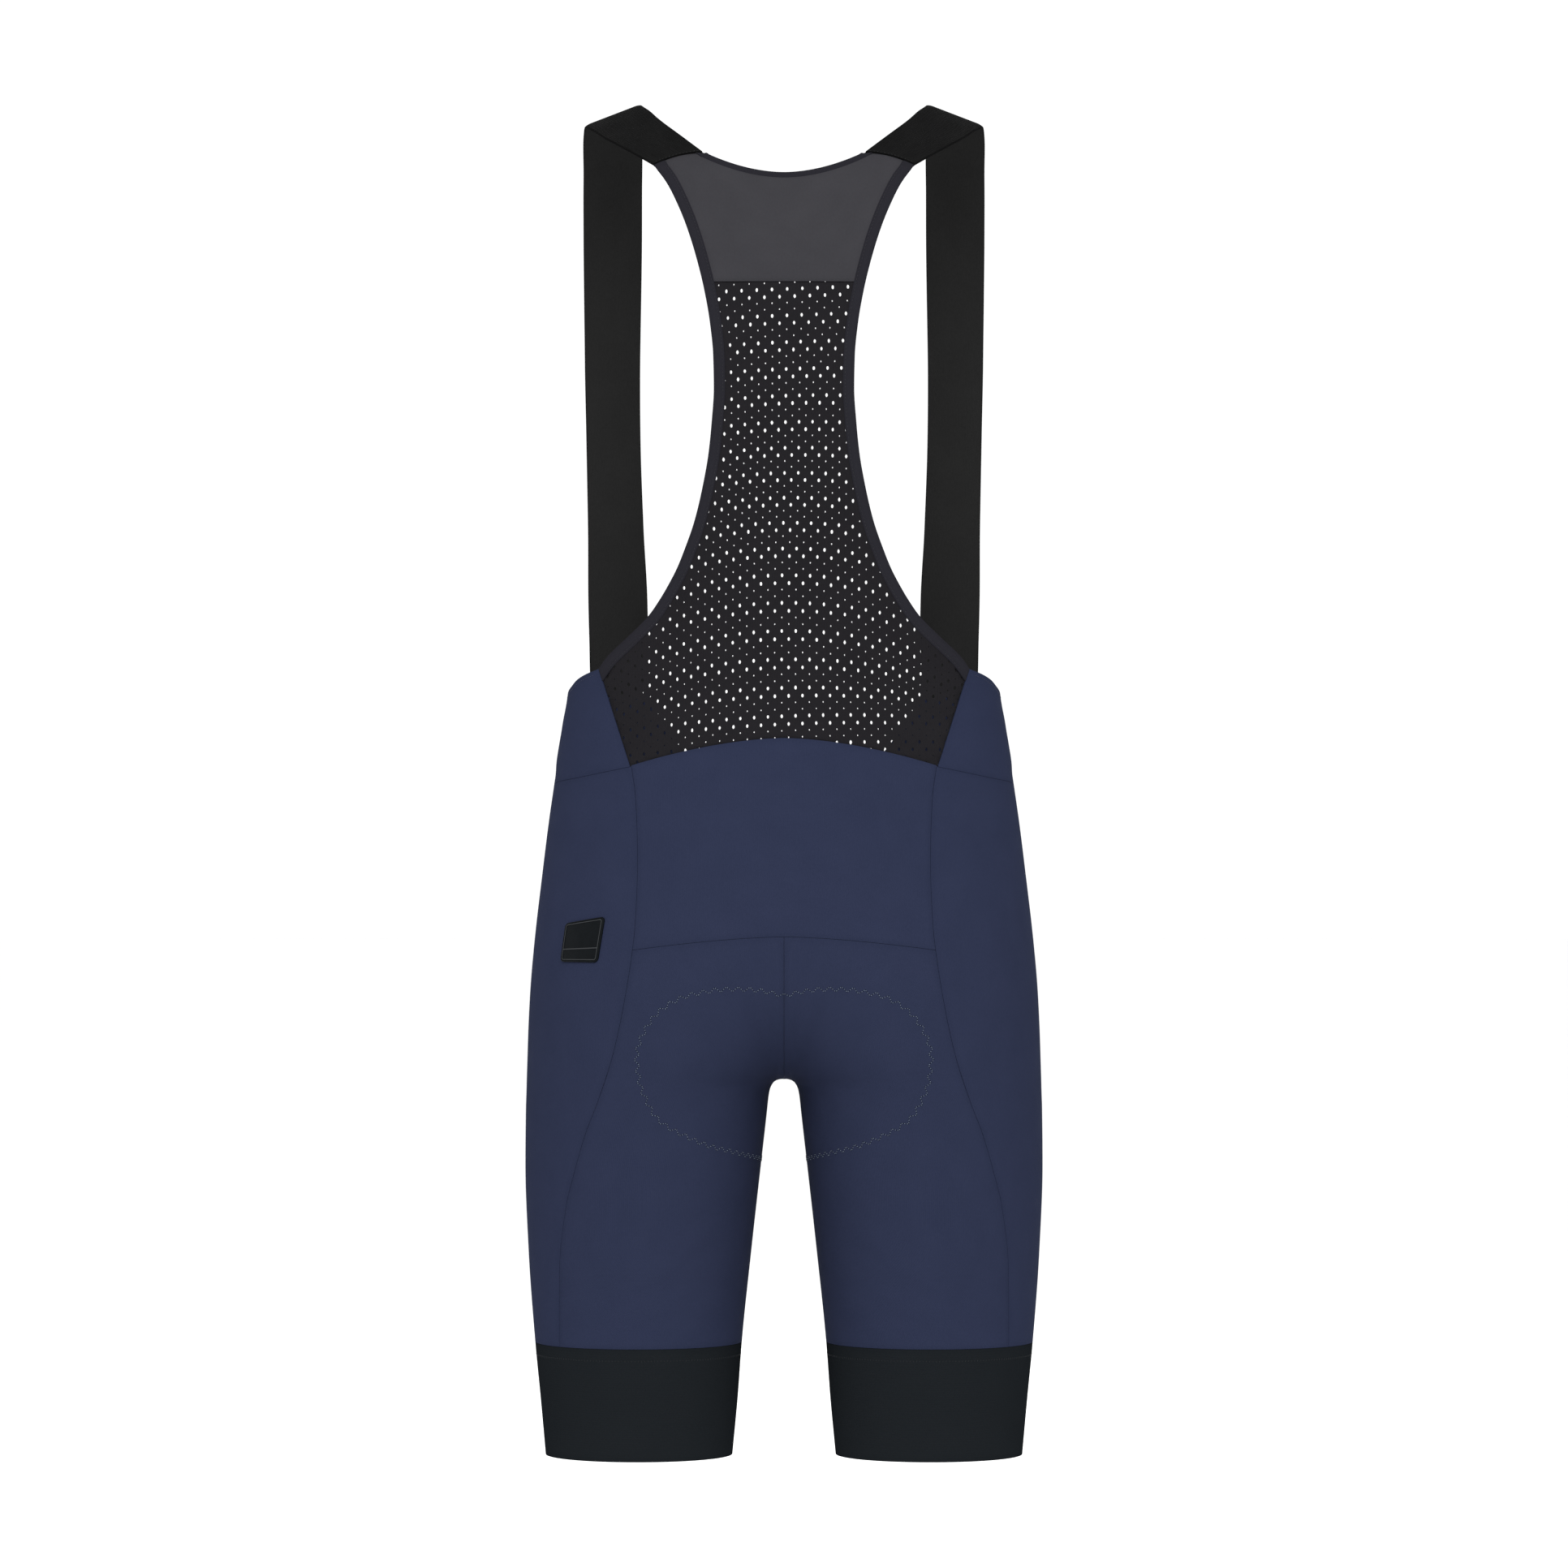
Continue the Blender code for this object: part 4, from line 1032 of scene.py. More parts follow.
# Up the back: height, step between eyelets, lean to the left, and the rows' tilt and droop.
EYELET_SPREAD = [
    (-450, 9.2, 1.5, -0.045, 0.00015), (-412, 9.2, 1.5, -0.042, 0.0004),
    (-395, 9.2, 1.5, -0.034, 0.0007), (-375, 9.3, 1.6, -0.022, 0.0012),
    (-350, 9.35, 1.5, -0.012, 0.0017), (-315, 9.35, 1.3, -0.009, 0.0017),
    (-263, 9.2, 0, -0.017, 0.0013), (-205, 9, -1.1, -0.036, 0.0008),
    (-165, 9.3, -1.6, -0.041, 0.0003), (-123, 10.1, -2.1, -0.039, 0), (-80, 10.1, -2.1, -0.039, 0),
]
# Where each of the four rows of a pair of pairs lies, and where its band of cloth ends.
ROW_MIDDLE = np.array([0.0, 0.235, 0.47, 0.715])
ROW_END = np.array([0.118, 0.353, 0.59, 0.857])
MOST_COLUMNS = 14
FIRST_PAIR = -2
PAIRS = 21
SAME_SPOT = 0.02
FAR_FROM_EDGE = 0.02
TAPE_REACH = 9.0
HOLE_CORNERS = 12
HOLE_VARIES = (0.93, 1.07)
HOLE_POINT = 1.15

low_corner = np.array((
    HIP_CORNER_LOW[0] - SEAM_GAP, float(waist_seam_z(HIP_CORNER_LOW[0])) + HALF_GAP
))
hip_corner = binding_spot(np.array(1.0), ARMHOLE_BINDING + SEAM_GAP) - (HALF_GAP, 0)
beside_binding = binding_spot(np.linspace(1, YOKE_SHARE, 200), ARMHOLE_BINDING + SEAM_GAP)
mesh_side = np.vstack([low_corner[None], hip_corner[None], beside_binding])
mesh_side = mesh_side[np.argsort(mesh_side[:, 1])]
MESH_TOP = float(beside_binding[-1, 1]) - HALF_GAP

mesh_bm = bmesh.new()
bmesh.ops.create_grid(mesh_bm, x_segments=8 * MOST_COLUMNS, y_segments=8 * PAIRS, size=1.0)
for vertex in mesh_bm.verts:
    vertex.co.x = round(vertex.co.x * 4 * MOST_COLUMNS)
    vertex.co.y = round((vertex.co.y + 1) * 4 * PAIRS)
# Squares are joined into blocks, four wide and two high, that lie half a block apart from row to
# row. An eyelet is cut in each.
inner_verts = [
    v for v in mesh_bm.verts
    if v.co.y % 2 == 1 and abs(v.co.x) < 4 * MOST_COLUMNS - 2
    and v.co.x % 4 != (0 if (v.co.y // 2) % 2 == 0 else 2)
]
bmesh.ops.dissolve_verts(mesh_bm, verts=inner_verts)
bmesh.ops.inset_individual(
    mesh_bm, faces=[f for f in mesh_bm.faces if len(f.verts) == HOLE_CORNERS], thickness=0.1,
    use_even_offset=True,
)
hole_size = np.random.default_rng(7)
hole_shift = {}
holes = [f for f in mesh_bm.faces if len(f.verts) == HOLE_CORNERS]
for face in holes:
    centre = face.calc_center_median()
    size = LARGE_EYELET if int(centre.y // 2) % 4 in (0, 3) else SMALL_EYELET
    wide, high = np.multiply(size, hole_size.uniform(*HOLE_VARIES, 2)) / 2
    for vertex in face.verts:
        turn = math.atan2(vertex.co.y - centre.y, (vertex.co.x - centre.x) / 2)
        across, up = (math.copysign(abs(part) ** HOLE_POINT, part)
                      for part in (math.cos(turn), math.sin(turn)))
        hole_shift[vertex] = (centre.x, centre.y, across * wide, -up * high)
bmesh.ops.delete(mesh_bm, geom=holes, context="FACES_ONLY")
lattice = np.array([hole_shift.get(v, (v.co.x, v.co.y, 0, 0)) for v in mesh_bm.verts], float)
band, part = np.divmod(lattice[:, 1], 2)
pair_number, band = np.divmod(band.astype(int), 4)
band_start = np.where(band == 0, ROW_END[3] - 1, ROW_END[band - 1])
level = np.where(part == 0, band_start, ROW_MIDDLE[band]) + pair_number + FIRST_PAIR
row_z = smooth_table(EYELET_ROWS)(level)[:, 0]
step, lean, tilt, droop = smooth_table(EYELET_SPREAD)(row_z).T
mesh_x = lattice[:, 0] / 4 * step + lean
mesh_z = row_z + tilt * mesh_x - droop * mesh_x ** 2
mesh_x, mesh_z = mesh_x + lattice[:, 2], mesh_z + lattice[:, 3]


def inside_mesh(x, z, tape=0.0):
    """How far inside the panel's seams a point of the back lies, with the tapes' moved out."""
    tapes = np.where(z > HIP_CORNER_TOP[1], tape, 0.0)
    side = np.interp(z, mesh_side[:, 1], mesh_side[:, 0]) + tapes
    return np.minimum(np.minimum(side - np.abs(x), MESH_TOP - z), z - waist_seam_z(x) - HALF_GAP)


beyond = inside_mesh(mesh_x, mesh_z) < -MESH_UNDER
mesh_bm.verts.index_update()
mesh_bm.verts.ensure_lookup_table()
cut_away = [f for f in mesh_bm.faces if all(beyond[v.index] for v in f.verts)]
for _ in range(2):
    mesh_z = np.minimum(mesh_z, MESH_TOP + MESH_UNDER)
    mesh_z = np.maximum(mesh_z, waist_seam_z(mesh_x) + HALF_GAP - MESH_UNDER)
    side = np.interp(mesh_z, mesh_side[:, 1], mesh_side[:, 0]) + MESH_UNDER
    mesh_x = np.clip(mesh_x, -side, side)
mesh_spots = skin_at(mesh_x, mesh_z, 1)
clear = inside_mesh(mesh_x, mesh_z, TAPE_REACH) / 1.6
deep = mix(CLOTH + 0.05, MESH_DEEP, smooth_step(clear))
put(mesh_bm.verts, mesh_spots - outward(mesh_spots) * deep[:, None])
weave_layer = mesh_bm.verts.layers.float_vector.new("weave")
for vertex, x, z in zip(mesh_bm.verts, mesh_x, mesh_z):
    vertex[weave_layer] = (x * MM, z * MM, FAR_FROM_EDGE)
bmesh.ops.delete(mesh_bm, geom=cut_away, context="FACES")
bmesh.ops.remove_doubles(mesh_bm, verts=mesh_bm.verts, dist=SAME_SPOT)
thicken(mesh_bm, MESH_WALL, edge=0.0)
mesh_cloth = knit("black_mesh", (0.0084, 0.0080, 0.0092), (0.0127, 0.0120, 0.0136),
                  wale=0.85, course=0.7, relief=0.07, streak=0.5)
back_mesh = make(mesh_bm, "back_mesh_panel", mesh_cloth, "black_mesh", "back_mesh")

# Yoke
# The fine grey knit panel between the shoulder blades, slightly sheer, with a turned lower edge
# laid over the top of the open-work back, and the two straps sewn to its upper corners.

NECK_BINDING = 4.0
NECK_EDGE = (-44.9, 15.2, STRAP_SEAM_NECK[0], 1.9)
NECK_SHARE = 0.75
YOKE_UNDER = 1.2
YOKE_ROW_UP = 1.2
neck_columns = np.linspace(0, 1, 7)


def neck_z(x):
    return bowed(x, *NECK_EDGE)


neck_x = STRAP_SEAM_NECK[0] * neck_columns
neck_lean = np.where(neck_columns > 0.01, neck_z(neck_x + 0.5) - neck_z(neck_x - 0.5), 0.0)
neck_down = unit(np.stack([neck_lean, -np.ones(7)], -1))
along_seam = STRAP_SEAM_ARM - STRAP_SEAM_NECK
neck_down[-1] = along_seam / along_seam.dot(neck_down[-1])


def neck_spot(share, below):
    """A point (x, z) of the back, a share out along the neck's edge and so far below it."""
    x = STRAP_SEAM_NECK[0] * share
    down = between(share, neck_columns, neck_down)
    return np.stack([x, neck_z(x)], -1) + down * np.expand_dims(below, -1)


def yoke_side(v):
    flat = binding_spot(YOKE_SHARE * (1 - v), ARMHOLE_BINDING - YOKE_UNDER)
    return flat + np.stack([0 * v, HALF_GAP * (v == 0)], -1)


def yoke_bottom(u):
    x, z = yoke_side(np.zeros(1))[0]
    return np.stack([mix(-x, x, u), np.full(u.shape, z)], -1)


def yoke_top(u):
    share = np.abs(2 * u - 1)
    neck = neck_spot(np.clip(share / NECK_SHARE, 0, 1), NECK_BINDING - YOKE_UNDER)
    start = neck_spot(np.ones(1), NECK_BINDING - YOKE_UNDER)[0]
    end = binding_spot(np.zeros(1), ARMHOLE_BINDING - YOKE_UNDER)[0]
    seam = mix(start, end, np.clip((share - NECK_SHARE) / (1 - NECK_SHARE), 0, 1)[:, None])
    flat = np.where((share <= NECK_SHARE)[:, None], neck, seam)
    return flat * np.stack([np.where(u < 0.5, -1, 1), np.ones(u.shape)], -1)


yoke_knit = knit("grey_yoke", (0.0244, 0.0238, 0.0271), (0.0333, 0.0327, 0.0369),
                 wale=0.6, course=0.6, relief=0.04, streak=0.3, mottle=0.6)
yoke = make(
    thicken(lay(64, 60, patch(yoke_bottom, yoke_top, flip(yoke_side), yoke_side, tucked)), CLOTH),
    "yoke_panel", yoke_knit, "grey_yoke", "yoke",
)


def yoke_row(share):
    x, z = yoke_side(np.zeros(1))[0]
    return skin_at(mix(-x, x, share), np.full(share.shape, z + YOKE_ROW_UP), 1)


yoke_stitches = make(
    sew(seam_line(yoke_row, 120), pitch=2.2, stitch=1.5, thick=0.26),
    "yoke_stitches", black_stitch, "grey_yoke",
)

# Neck binding
# The same black tape as the armholes', narrower. It is folded over the back of the neck, from one
# strap to the other, with its fold upwards.


def neck_place(u, v):
    share = np.abs(2 * u - 1)
    flat = neck_spot(share, NECK_BINDING * (1 - v))
    return tucked(np.stack([np.copysign(flat[:, 0], u - 0.5), flat[:, 1]], -1))


neck_tape = make(
    bind(72, 5, neck_place), "neck_tape", binding_tape, "black_elastic", "neck_binding"
)

# Straps
# Each strap is one length of black elastic webbing, from the front waist, over the shoulder and
# down to the yoke. Its outer face has fine lengthwise ribs, and its inner face is brushed smooth.
# Both ends lie over the cloth, under rows of black stitches.

# Along a strap from its foot: middle of the outer face, slope across, turn and width.
STRAP = [
    (114.3, -79, -392.5, 0, 32, 42), (114.4, -87.5, -363, 0, 20, 42),
    (115.1, -95, -325, 0, 12, 41.5), (116.7, -102, -275, 0, 9, 38.8),
    (118.4, -107.5, -215, 0, 8, 37.8), (119.1, -109.5, -160, 0, 7, 38.6),
    (118.9, -106, -112, 1, 7, 39.9), (118.6, -96, -76, 4, 7, 40.7),
    (118.2, -78.5, -48, 8, 6, 40.9), (117.5, -55, -26.8, 13, 5, 41.4),
    (117.2, -30, -10.8, 17.5, 3, 41.8), (116.7, -11, -1.6, 20.5, 1, 41.4),
    (115.9, 0, 0.9, 21, 0, 41), (112.1, 10.5, -2.2, 20.5, 1, 40.4),
    (103.5, 26, -10.2, 17.5, 4, 40), (92, 42, -18.9, 15, 7, 39),
    (80.2, 55, -27.5, 14.5, 10, 37), (71, 63.5, -34.2, 15, 11, 35),
]
STRAP_LAP = 3.0
STRAP_LIFT = 1.65
STRAP_EASE = 45.0
STRAP_FOOT_DEGREES = (-38.6, -22.8)
STRAP_CURL = 1.0
CURL_START = 0.78
STRAP_EDGE = 0.4
SHOULDER_ROW = 12
strap_middle = np.array(STRAP)
strap_lengths = lengths_along(strap_middle[:, :3])
strap_curve = smooth_table(np.hstack([strap_lengths[:, None], strap_middle]))
shoulder = strap_lengths[SHOULDER_ROW]


def ribbon(u, along):
    here = strap_curve(along)
    slope, turn = np.radians(here[..., 3]), np.radians(here[..., 4])
    across = np.stack([np.cos(slope) * np.cos(turn), np.sin(turn), -np.sin(slope)], -1)
    return here[..., :3] + across * (here[..., 5] * (u - 0.5))[..., None]


def strap_foot(u):
    degrees = mix(*STRAP_FOOT_DEGREES, u)
    return skin(np.radians(degrees), waist_top(degrees) - STRAP_LAP)


def strap_head(u):
    flat = mix(STRAP_SEAM_NECK, STRAP_SEAM_ARM, u[:, None])
    return skin_at(flat[:, 0], flat[:, 1] + strap_seam_arch(u), 1)


def strap_place(u, v):
    along = np.interp(v * (len(STRAP) - 1), np.arange(len(STRAP)), strap_lengths)
    whole = np.full(u.shape, strap_lengths[-1])
    spots = ribbon(u, along)
    foot, head = strap_foot(u), strap_head(u)
    spots += (foot - ribbon(u, 0 * u)) * fade(along, STRAP_EASE)[:, None]
    spots += (head - ribbon(u, whole)) * fade(whole - along, STRAP_EASE)[:, None]
    edges = np.clip((np.abs(2 * u - 1) - CURL_START) / (1 - CURL_START), 0, 1) ** 2
    spots[:, 2] -= STRAP_CURL * edges * fade(along - shoulder, reach=20, full=1.2)
    return spots + outward(foot) * (STRAP_LIFT * fade(along, reach=9, full=1.4))[:, None]


def strap_row(place):
    """A row across a strap, a share of the way along it from its foot."""
    return lambda share: strap_place(mix(0.05, 0.95, share), np.full(share.shape, place))


# Both faces darken within a rim of the webbing's edges: painted shade.
strap_outside = knit("black_elastic", (0.0036, 0.0036, 0.0037), (0.0102, 0.0102, 0.0101),
                     wale=1.7, course=1.1, relief=0.16, streak=3.0, mottle=0.3, rim=1.4, shade=0.4)
strap_inside = knit("brushed_elastic", (0.0104, 0.0104, 0.0104), (0.0164, 0.0164, 0.0163),
                    rough=0.9, wale=0.8, course=0.8, relief=0.04, streak=0.6, mottle=0.4, rim=1.2,
                    shade=0.6)
strap_bm = lay(36, 12 * (len(STRAP) - 1), strap_place)
strap_bm.normal_update()
strap_away = {tuple(v.co): np.array(v.normal) for v in strap_bm.verts}
thicken(strap_bm, STRAP_WALL, edge=STRAP_EDGE,
        way=lambda spots: np.array([strap_away[tuple(spot)] for spot in spots]))
straps = pair(strap_bm, "strap_webbing", (strap_outside, strap_inside), "black_elastic", "strap")
strap_rows = bmesh.new()
for place in (0.003, 0.013, 0.9955):
    sew(seam_line(strap_row(place), 60), pitch=2.4, stitch=1.7, thick=0.3, whole=strap_rows)
dark_stitch = twist("dark_stitch", (0.002, 0.002, 0.002), (0.007, 0.007, 0.008))
strap_stitches = pair(strap_rows, "strap_stitches", dark_stitch, "black_elastic")

# Seat pad
# The foam pad between the legs and under the seat: two layers of foam in a knit cover, thin at its
# stitched edge, with moulded channels. A three-step zigzag in pale thread shows on the outside.

PAD_EDGE = [
    (-706, 40, 34), (-699, 51, 37), (-685, 79, 43), (-672, 90, 47),
    (-654, 97.5, 50), (-636, 99.5, 50), (-616, 94, 46), (-602, 79, 38),
    (-592, 54, 26),
]
PAD_LEVELS = [CROTCH - d for d in (55, 43, 30, 17, 9.2, 4.6, 1.8, 0.4, 0)]
PAD_LEVELS += [CROTCH + d for d in (0.4, 1.8, 4, 9, 18, 31, 45, 58.8)]
PAD_TOP = 1.5
PAD_DEEP = 10.0
PAD_RIM = 1.6
PAD_COLUMNS = 28
# Channels along the pad: distance from its centre line, half their width, and depth. The groove
# round it: how far in from its rim, half its width, and depth.
PAD_CHANNELS = ((0.0, 3.2, 2.6), (30.0, 2.6, 2.2))
PAD_GROOVE = (17.0, 2.5, 1.4)
# In from the rim: where the crown and the channels start, and how far they take to reach their full
# height and depth.
PAD_CROWN = (6.0, 18.0)
PAD_CHANNELS_FROM = (10.0, 12.0)
pad_breadth = smooth_table(PAD_EDGE)


def pad_quarter(column, side):
    """The left half of the pad's back (side 1) or front (side -1). Every point keeps how far in it
    lies from the pad's outline, and from the centre line."""
    rows = len(PAD_LEVELS) - 1

    def place(u, v):
        z = np.interp(v * rows, np.arange(rows + 1), PAD_LEVELS)
        edge = angle_at(pad_breadth(z)[..., column], z, side)
        return skin(mix(edge, centre_angle(z, side), gather(u)), z)

    quarter = lay(PAD_COLUMNS, 4 * rows, place)
    layer = quarter.verts.layers.float_vector["weave"]
    kept = np.array([v[layer] for v in quarter.verts]) / MM
    across, along, _ = np.moveaxis(kept.reshape(4 * rows + 1, PAD_COLUMNS + 1, 3), -1, 0)
    edges = (across - across[:, :1], along.max() - along, along)
    rim = sum(np.maximum(edge, 0.1) ** -3 for edge in edges) ** (-1 / 3)
    from_centre = across[:, -1:] - across
    for vertex, a, b in zip(quarter.verts, rim.flat, from_centre.flat):
        vertex[layer] = (a * MM, b * MM, side)
    return quarter


pad_bm = bmesh.new()
for column, side in ((0, 1), (1, -1)):
    quarter = pad_quarter(column, side)
    for flip_x in (1, -1):
        bmesh.ops.scale(quarter, vec=(flip_x, 1, 1), verts=quarter.verts)
        add_to(pad_bm, quarter)
    quarter.free()
bmesh.ops.remove_doubles(pad_bm, verts=pad_bm.verts, dist=2.1 * HALF_GAP)
for vertex in pad_bm.verts:
    if abs(vertex.co.x) < SEAM_GAP:
        vertex.co.x = 0.0
bmesh.ops.recalc_face_normals(pad_bm, faces=pad_bm.faces)
pad_layer = pad_bm.verts.layers.float_vector["weave"]


def pad_foam(verts):
    """The foam's thickness: thin at its rim, with a crown that moulded channels cross."""
    rim, from_centre, _ = np.array([v[pad_layer] for v in verts]).T / MM

    def risen(start, run):
        return smooth_step((rim - start) / run)

    crown = mix(PAD_RIM, PAD_DEEP - PAD_TOP, risen(*PAD_CROWN))
    for line, half_width, dip in PAD_CHANNELS:
        crown -= dip * fade(from_centre - line, half_width) * risen(*PAD_CHANNELS_FROM)
    groove_at, half_width, dip = PAD_GROOVE
    return (crown - dip * fade(rim - groove_at, half_width))[:, None]


thicken(pad_bm, pad_foam, proud=-PAD_TOP, edge=0.0)
pad_cover = finish("pad_cover", 0.85, 0.15)
pad_spot = node(pad_cover, "TexCoord").outputs["Object"]
pad_loops = node(pad_cover, "TexVoronoi", {"Vector": pad_spot, "Scale": 750.0}).outputs["Distance"]
pad_clouds = sums(pad_cover, "MULTIPLY", noise(pad_cover, pad_spot, 60.0, 3.0), 0.7)
dye(pad_cover, sums(pad_cover, "MULTIPLY_ADD", pad_loops, 0.4, pad_clouds),
    ((0.018, 0.019, 0.023), (0.055, 0.057, 0.066)))
emboss(pad_cover, pad_loops, 0.5, 0.2)
pad_cover.node_tree.nodes["Principled BSDF"].inputs["Sheen Weight"].default_value = 0.1
pad = make(pad_bm, "foam_pad", pad_cover, "pad_foam", "seat_pad")

# The pad's stitched outline on one leg: first across the seat and round its outer end, as distance
# from the centre plane and height at the back, and then the same in front, from the inner thigh up.
PAD_LINE_BACK = [
    (0.3, -592.7), (12.6, -589.6), (27, -588.1), (42, -588.1), (52.3, -590), (64, -592.2),
    (76, -597.9), (88.2, -608.8), (95.6, -622.7), (98, -633.8), (96.5, -644.7), (92.7, -658.6),
    (86.2, -672.5), (77, -680.5), (62.3, -688), (50.1, -693.6), (36.4, -697.6), (23.4, -701.9),
]
PAD_LINE_FRONT = [
    (24, -704), (36, -699), (43, -686), (47, -672), (50, -654), (50, -636),
    (46, -616), (38, -602), (24, -594.5), (12, -591.5), (0.3, -590.5),
]
back_line, front_line = np.array(PAD_LINE_BACK), np.array(PAD_LINE_FRONT)
line_angle = np.concatenate([
    angle_at(back_line[:, 0], back_line[:, 1], 1), [math.pi],
    2 * math.pi + angle_at(front_line[:, 0], front_line[:, 1], -1),
])
line_z = np.concatenate([back_line[:, 1], [PAD_EDGE[0][0]], front_line[:, 1]])


def round_back(angle, z):
    """Points of the skin by an angle that goes on past the inner leg."""
    return skin(np.where(angle > math.pi, angle - 2 * math.pi, angle), z)


line_length = lengths_along(round_back(line_angle, line_z))
fine_length = np.linspace(0, line_length[-1], 500)
line_angle, line_z = smooth_table(np.stack([line_length, line_angle, line_z], -1))(fine_length).T
kernel = np.hanning(27) / np.hanning(27).sum()
pad_line = round_back(*(
    np.convolve(np.pad(row, 13, mode="reflect", reflect_type="odd"), kernel, "valid")
    for row in (line_angle, line_z)
))
pale_stitch = twist("pale_stitch", (0.045, 0.056, 0.08), (0.14, 0.172, 0.22))
pair(
    sew(pad_line, pitch=1.3, stitch=0.75, thick=0.48, swing=1.7, period=7.8),
    "pad_stitches", pale_stitch, "pad_foam",
)
# Dark ellipsoids between the pale stitches: painted shadows of the needle holes.
needle_hole_shade = twist("needle_hole_shade", (0.002, 0.003, 0.006), (0.006, 0.008, 0.015), gloss=0.0)
pair(
    sew(pad_line, pitch=1.3, stitch=0.6, thick=0.55, swing=1.9, period=7.8, first=1.0),
    "needle_hole_shadows", needle_hole_shade, "pad_foam",
)

# Badge
# A small moulded rubber badge, bonded to the left hip. It has a raised double rim and one bar
# across its lower third, and is otherwise bare.

BADGE_CORNERS = ((-20.4, -14.8), (13.8, -14.7), (-14.5, 10.7), (18.8, 15.7))
BADGE_THICK = 1.4
BADGE_CORNER = 3.0
BADGE_WIDE, BADGE_HIGH = 33.0, 28.0
BADGE_BAR = 9.0
BADGE_X, BADGE_Z = 134.0, -556.3
HIP_RADIUS = 118.7
BADGE_LIFT = 0.15
SKIRT_DEEP = 0.5
# In from the badge's edge: distance, and height of its face.
RELIEF = [(0.0, -0.9), (0.35, -0.2), (0.6, 0.0), (0.85, 0.0), (1.0, -0.38), (1.3, -0.38),
          (1.5, -0.08), (1.95, -0.08), (2.15, -0.42), (2.6, -0.42)]
relief_at, relief_height = zip(*RELIEF)


def badge_lines(length, extra=()):
    """Where the badge's grid lines lie, close together wherever its relief changes."""
    inner = np.linspace(3.0, length - 3.0, 15)
    near = np.array(relief_at)
    return np.unique(np.round(np.concatenate([near, inner, length - near, extra]), 3))


badge_columns = badge_lines(BADGE_WIDE)
badge_rows = badge_lines(BADGE_HIGH, [BADGE_BAR + d for d in (-0.5, -0.3, 0.3, 0.5)])


def badge_flat(u, v):
    """Across the badge, up it, and in from its nearest edge."""
    x = badge_columns[np.rint(u * (len(badge_columns) - 1)).astype(int)]
    y = badge_rows[np.rint(v * (len(badge_rows) - 1)).astype(int)]
    return x, y, np.minimum(np.minimum(x, BADGE_WIDE - x), np.minimum(y, BADGE_HIGH - y))


def badge_place(u, v):
    x, y, rim = badge_flat(u, v)
    hub_x = np.clip(x, BADGE_CORNER, BADGE_WIDE - BADGE_CORNER)
    hub_y = np.clip(y, BADGE_CORNER, BADGE_HIGH - BADGE_CORNER)
    dx, dy = x - hub_x, y - hub_y
    pull = np.maximum(np.abs(dx), np.abs(dy)) / np.maximum(np.hypot(dx, dy), TINY)
    x, y = hub_x + dx * pull, hub_y + dy * pull
    bar = (np.abs(y - BADGE_BAR) < 0.4) & (rim > 2.0)
    height = np.where(bar, -0.12, np.interp(rim, relief_at, relief_height))
    s, t = (x / BADGE_WIDE)[:, None], (y / BADGE_HIGH)[:, None]
    low_left, low_right, high_left, high_right = np.array(BADGE_CORNERS)
    flat = mix(mix(low_left, low_right, s), mix(high_left, high_right, s), t)
    z = BADGE_Z + flat[:, 1]
    spots = skin(angle_at(BADGE_X, z, 1) + flat[:, 0] / HIP_RADIUS, z)
    return spots + outward(spots) * (BADGE_LIFT + BADGE_THICK + height)[:, None]


badge_bm = lay(len(badge_columns) - 1, len(badge_rows) - 1, badge_place)
grid_layer = badge_bm.verts.layers.float_vector["grid"]
for face in badge_bm.faces:
    _, y, rim = badge_flat(*np.array([v[grid_layer] for v in face.verts]).T[:2])
    on_bar = abs(y.mean() - BADGE_BAR) < 0.3 and rim.min() > 1.9
    face.material_index = int(on_bar or (rim.min() > 1.45 and rim.max() < 2.0))
skirt = verts_in(bmesh.ops.extrude_edge_only(
    badge_bm, edges=[e for e in badge_bm.edges if e.is_boundary]
)["geom"])
spots = spots_of(skirt)
put(skirt, spots - outward(spots) * SKIRT_DEEP)
bmesh.ops.contextual_create(badge_bm, geom=[e for e in badge_bm.edges if e.is_boundary])


def rubber(name, colour, pale):
    """Moulded rubber with a fine grain, smudged by handling."""
    look = finish(name, 0.5, 0.05)
    spot = node(look, "TexCoord").outputs["Object"]
    grain = noise(look, spot, 2400.0, 2.0)
    smudge = sums(look, "MULTIPLY", noise(look, spot, 160.0, 3.0), 0.6)
    dye(look, sums(look, "MULTIPLY_ADD", grain, 0.4, smudge), (colour, pale))
    emboss(look, grain, 0.25, 0.05)
    return look


badge_looks = (
    rubber("badge_rubber", (0.0012, 0.0018, 0.0024), (0.0042, 0.0054, 0.0066)),
    rubber("badge_line", (0.024, 0.026, 0.028), (0.042, 0.044, 0.046)),
)
make(badge_bm, "hip_badge", badge_looks, "badge_rubber", "badge")

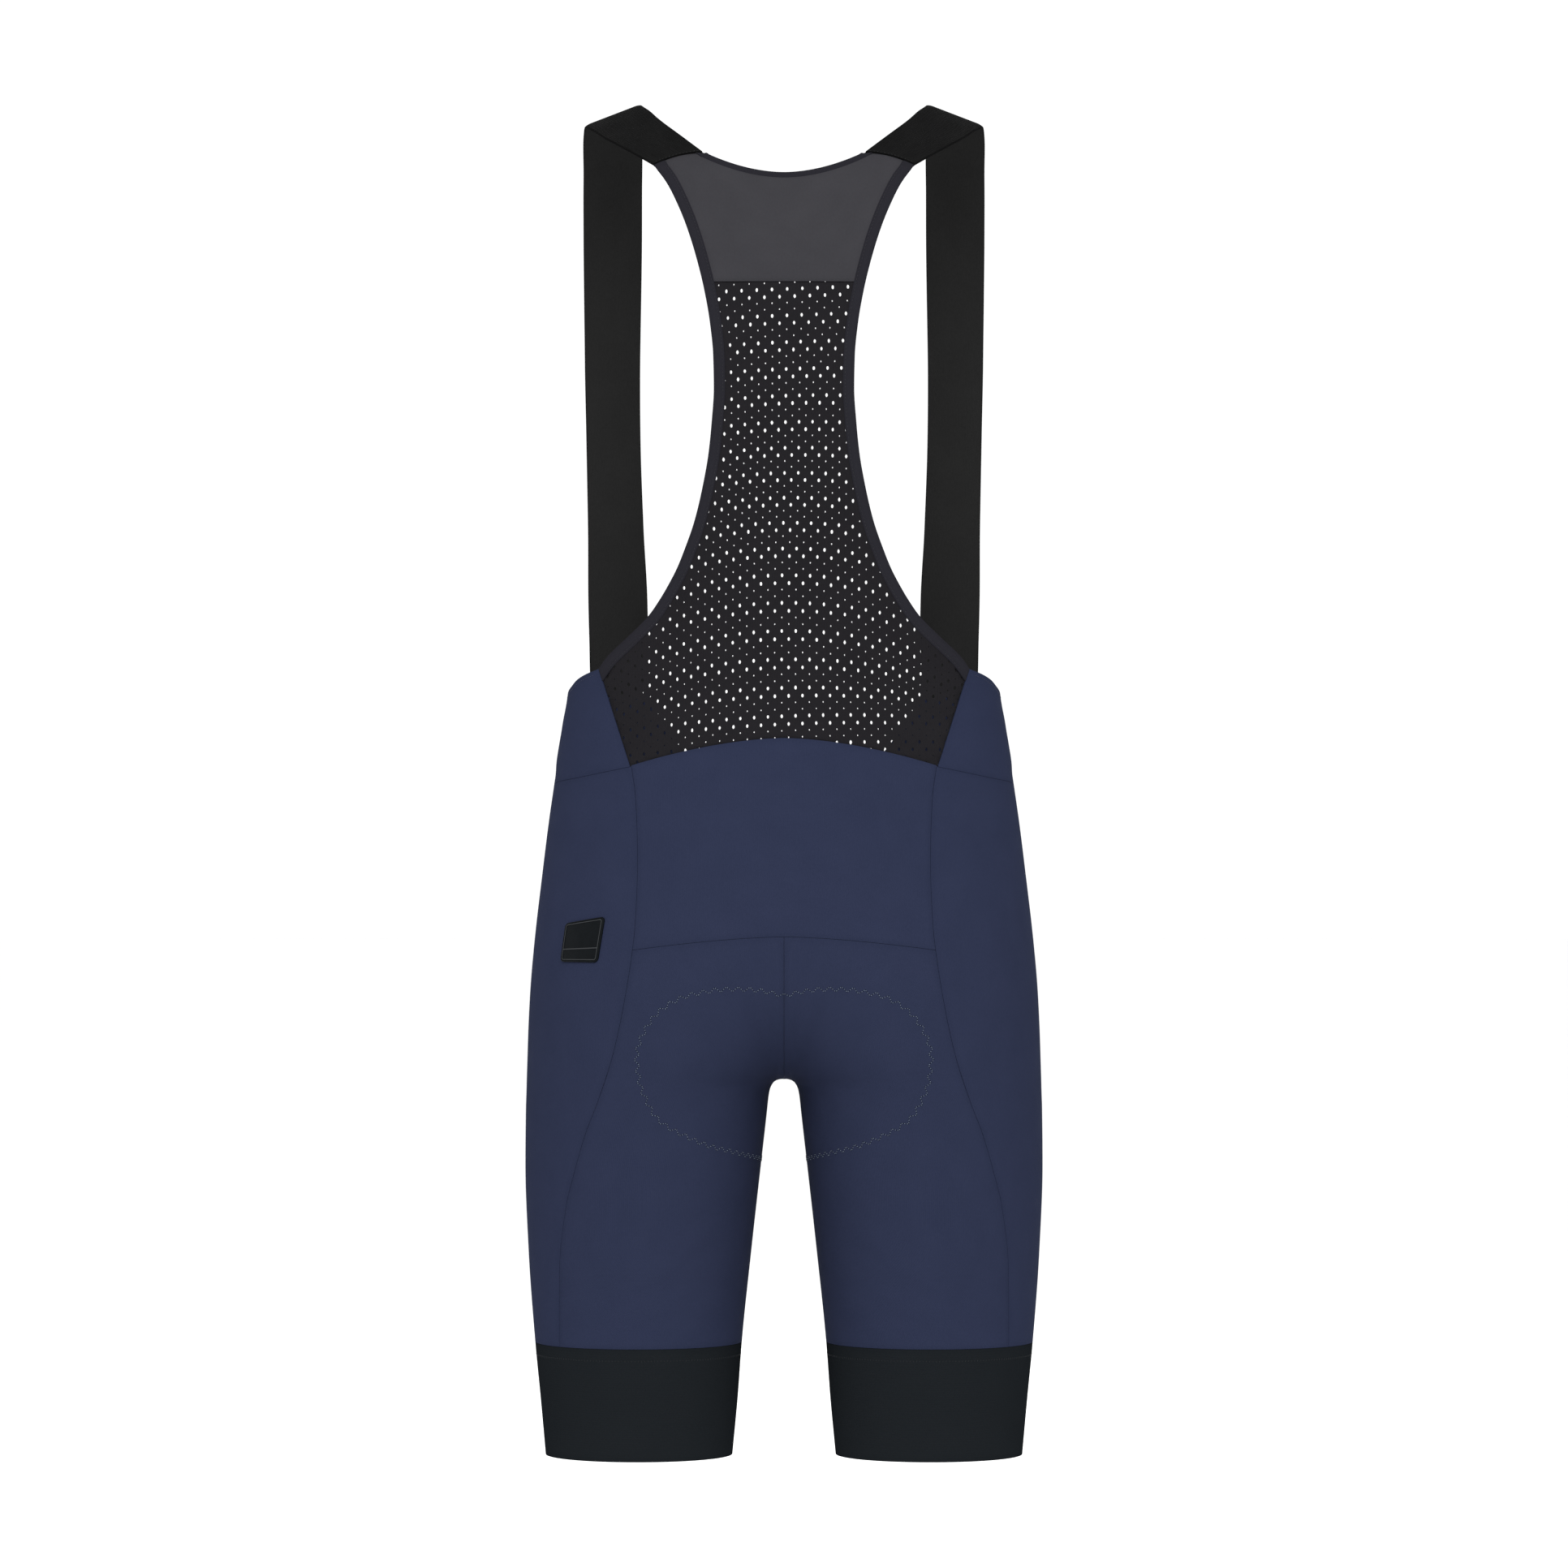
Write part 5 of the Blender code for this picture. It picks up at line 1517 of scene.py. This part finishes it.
# Stage, light and camera
# A plain pale floor under a soft white surround, with a broad lamp above the camera and a weaker
# one opposite. The camera stands 4.5 m behind the shorts and looks squarely at them.
CAMERA_Y = 4.5
CAMERA_Z = -0.4527
VIEW_HALF = 0.5313
FLOOR_Z = -1.25
LAMP_OUT, LAMP_UP, LAMP_TILT = 4.2, 2.4, 55

floor_bm = bmesh.new()
bmesh.ops.create_circle(floor_bm, cap_ends=True, segments=96, radius=30.0)
floor_mesh = bpy.data.meshes.new("floor")
floor_bm.to_mesh(floor_mesh)
floor_bm.free()
floor_mesh.transform(Matrix.Translation((0, 0, FLOOR_Z)))
floor = bpy.data.objects.new("floor", floor_mesh)
bpy.context.scene.collection.objects.link(floor)
floor_paint = finish("floor_paint", 0.9, 0.1)
floor_shader = floor_paint.node_tree.nodes["Principled BSDF"]
floor_shader.inputs["Base Color"].default_value = (0.93, 0.93, 0.93, 1)
floor_mesh.materials.append(floor_paint)

surround = bpy.data.worlds.new("surround")
surround.use_nodes = True
surround.node_tree.nodes["Background"].inputs["Color"].default_value = (1, 1, 1, 1)
surround.node_tree.nodes["Background"].inputs["Strength"].default_value = 1.08
bpy.context.scene.world = surround

for name, side, power in (("soft_lamp", 1, 200.0), ("fill_lamp", -1, 110.0)):
    lamp_data = bpy.data.lights.new(name, "AREA")
    lamp_data.shape, lamp_data.energy = "RECTANGLE", power
    lamp_data.size, lamp_data.size_y = 3.0, 2.4
    lamp = bpy.data.objects.new(name, lamp_data)
    lamp.location = (0.0, LAMP_OUT * side, LAMP_UP)
    lamp.rotation_euler = (math.radians(-LAMP_TILT * side), 0, 0)
    bpy.context.scene.collection.objects.link(lamp)

camera_data = bpy.data.cameras.new("camera")
camera_data.angle = 2 * math.atan(VIEW_HALF / CAMERA_Y)
camera = bpy.data.objects.new("camera", camera_data)
camera.location = (0.0, CAMERA_Y, CAMERA_Z)
camera.rotation_euler = (math.radians(90), 0, math.radians(180))
bpy.context.scene.collection.objects.link(camera)
bpy.context.scene.camera = camera
bpy.context.scene.view_settings.view_transform = "Standard"
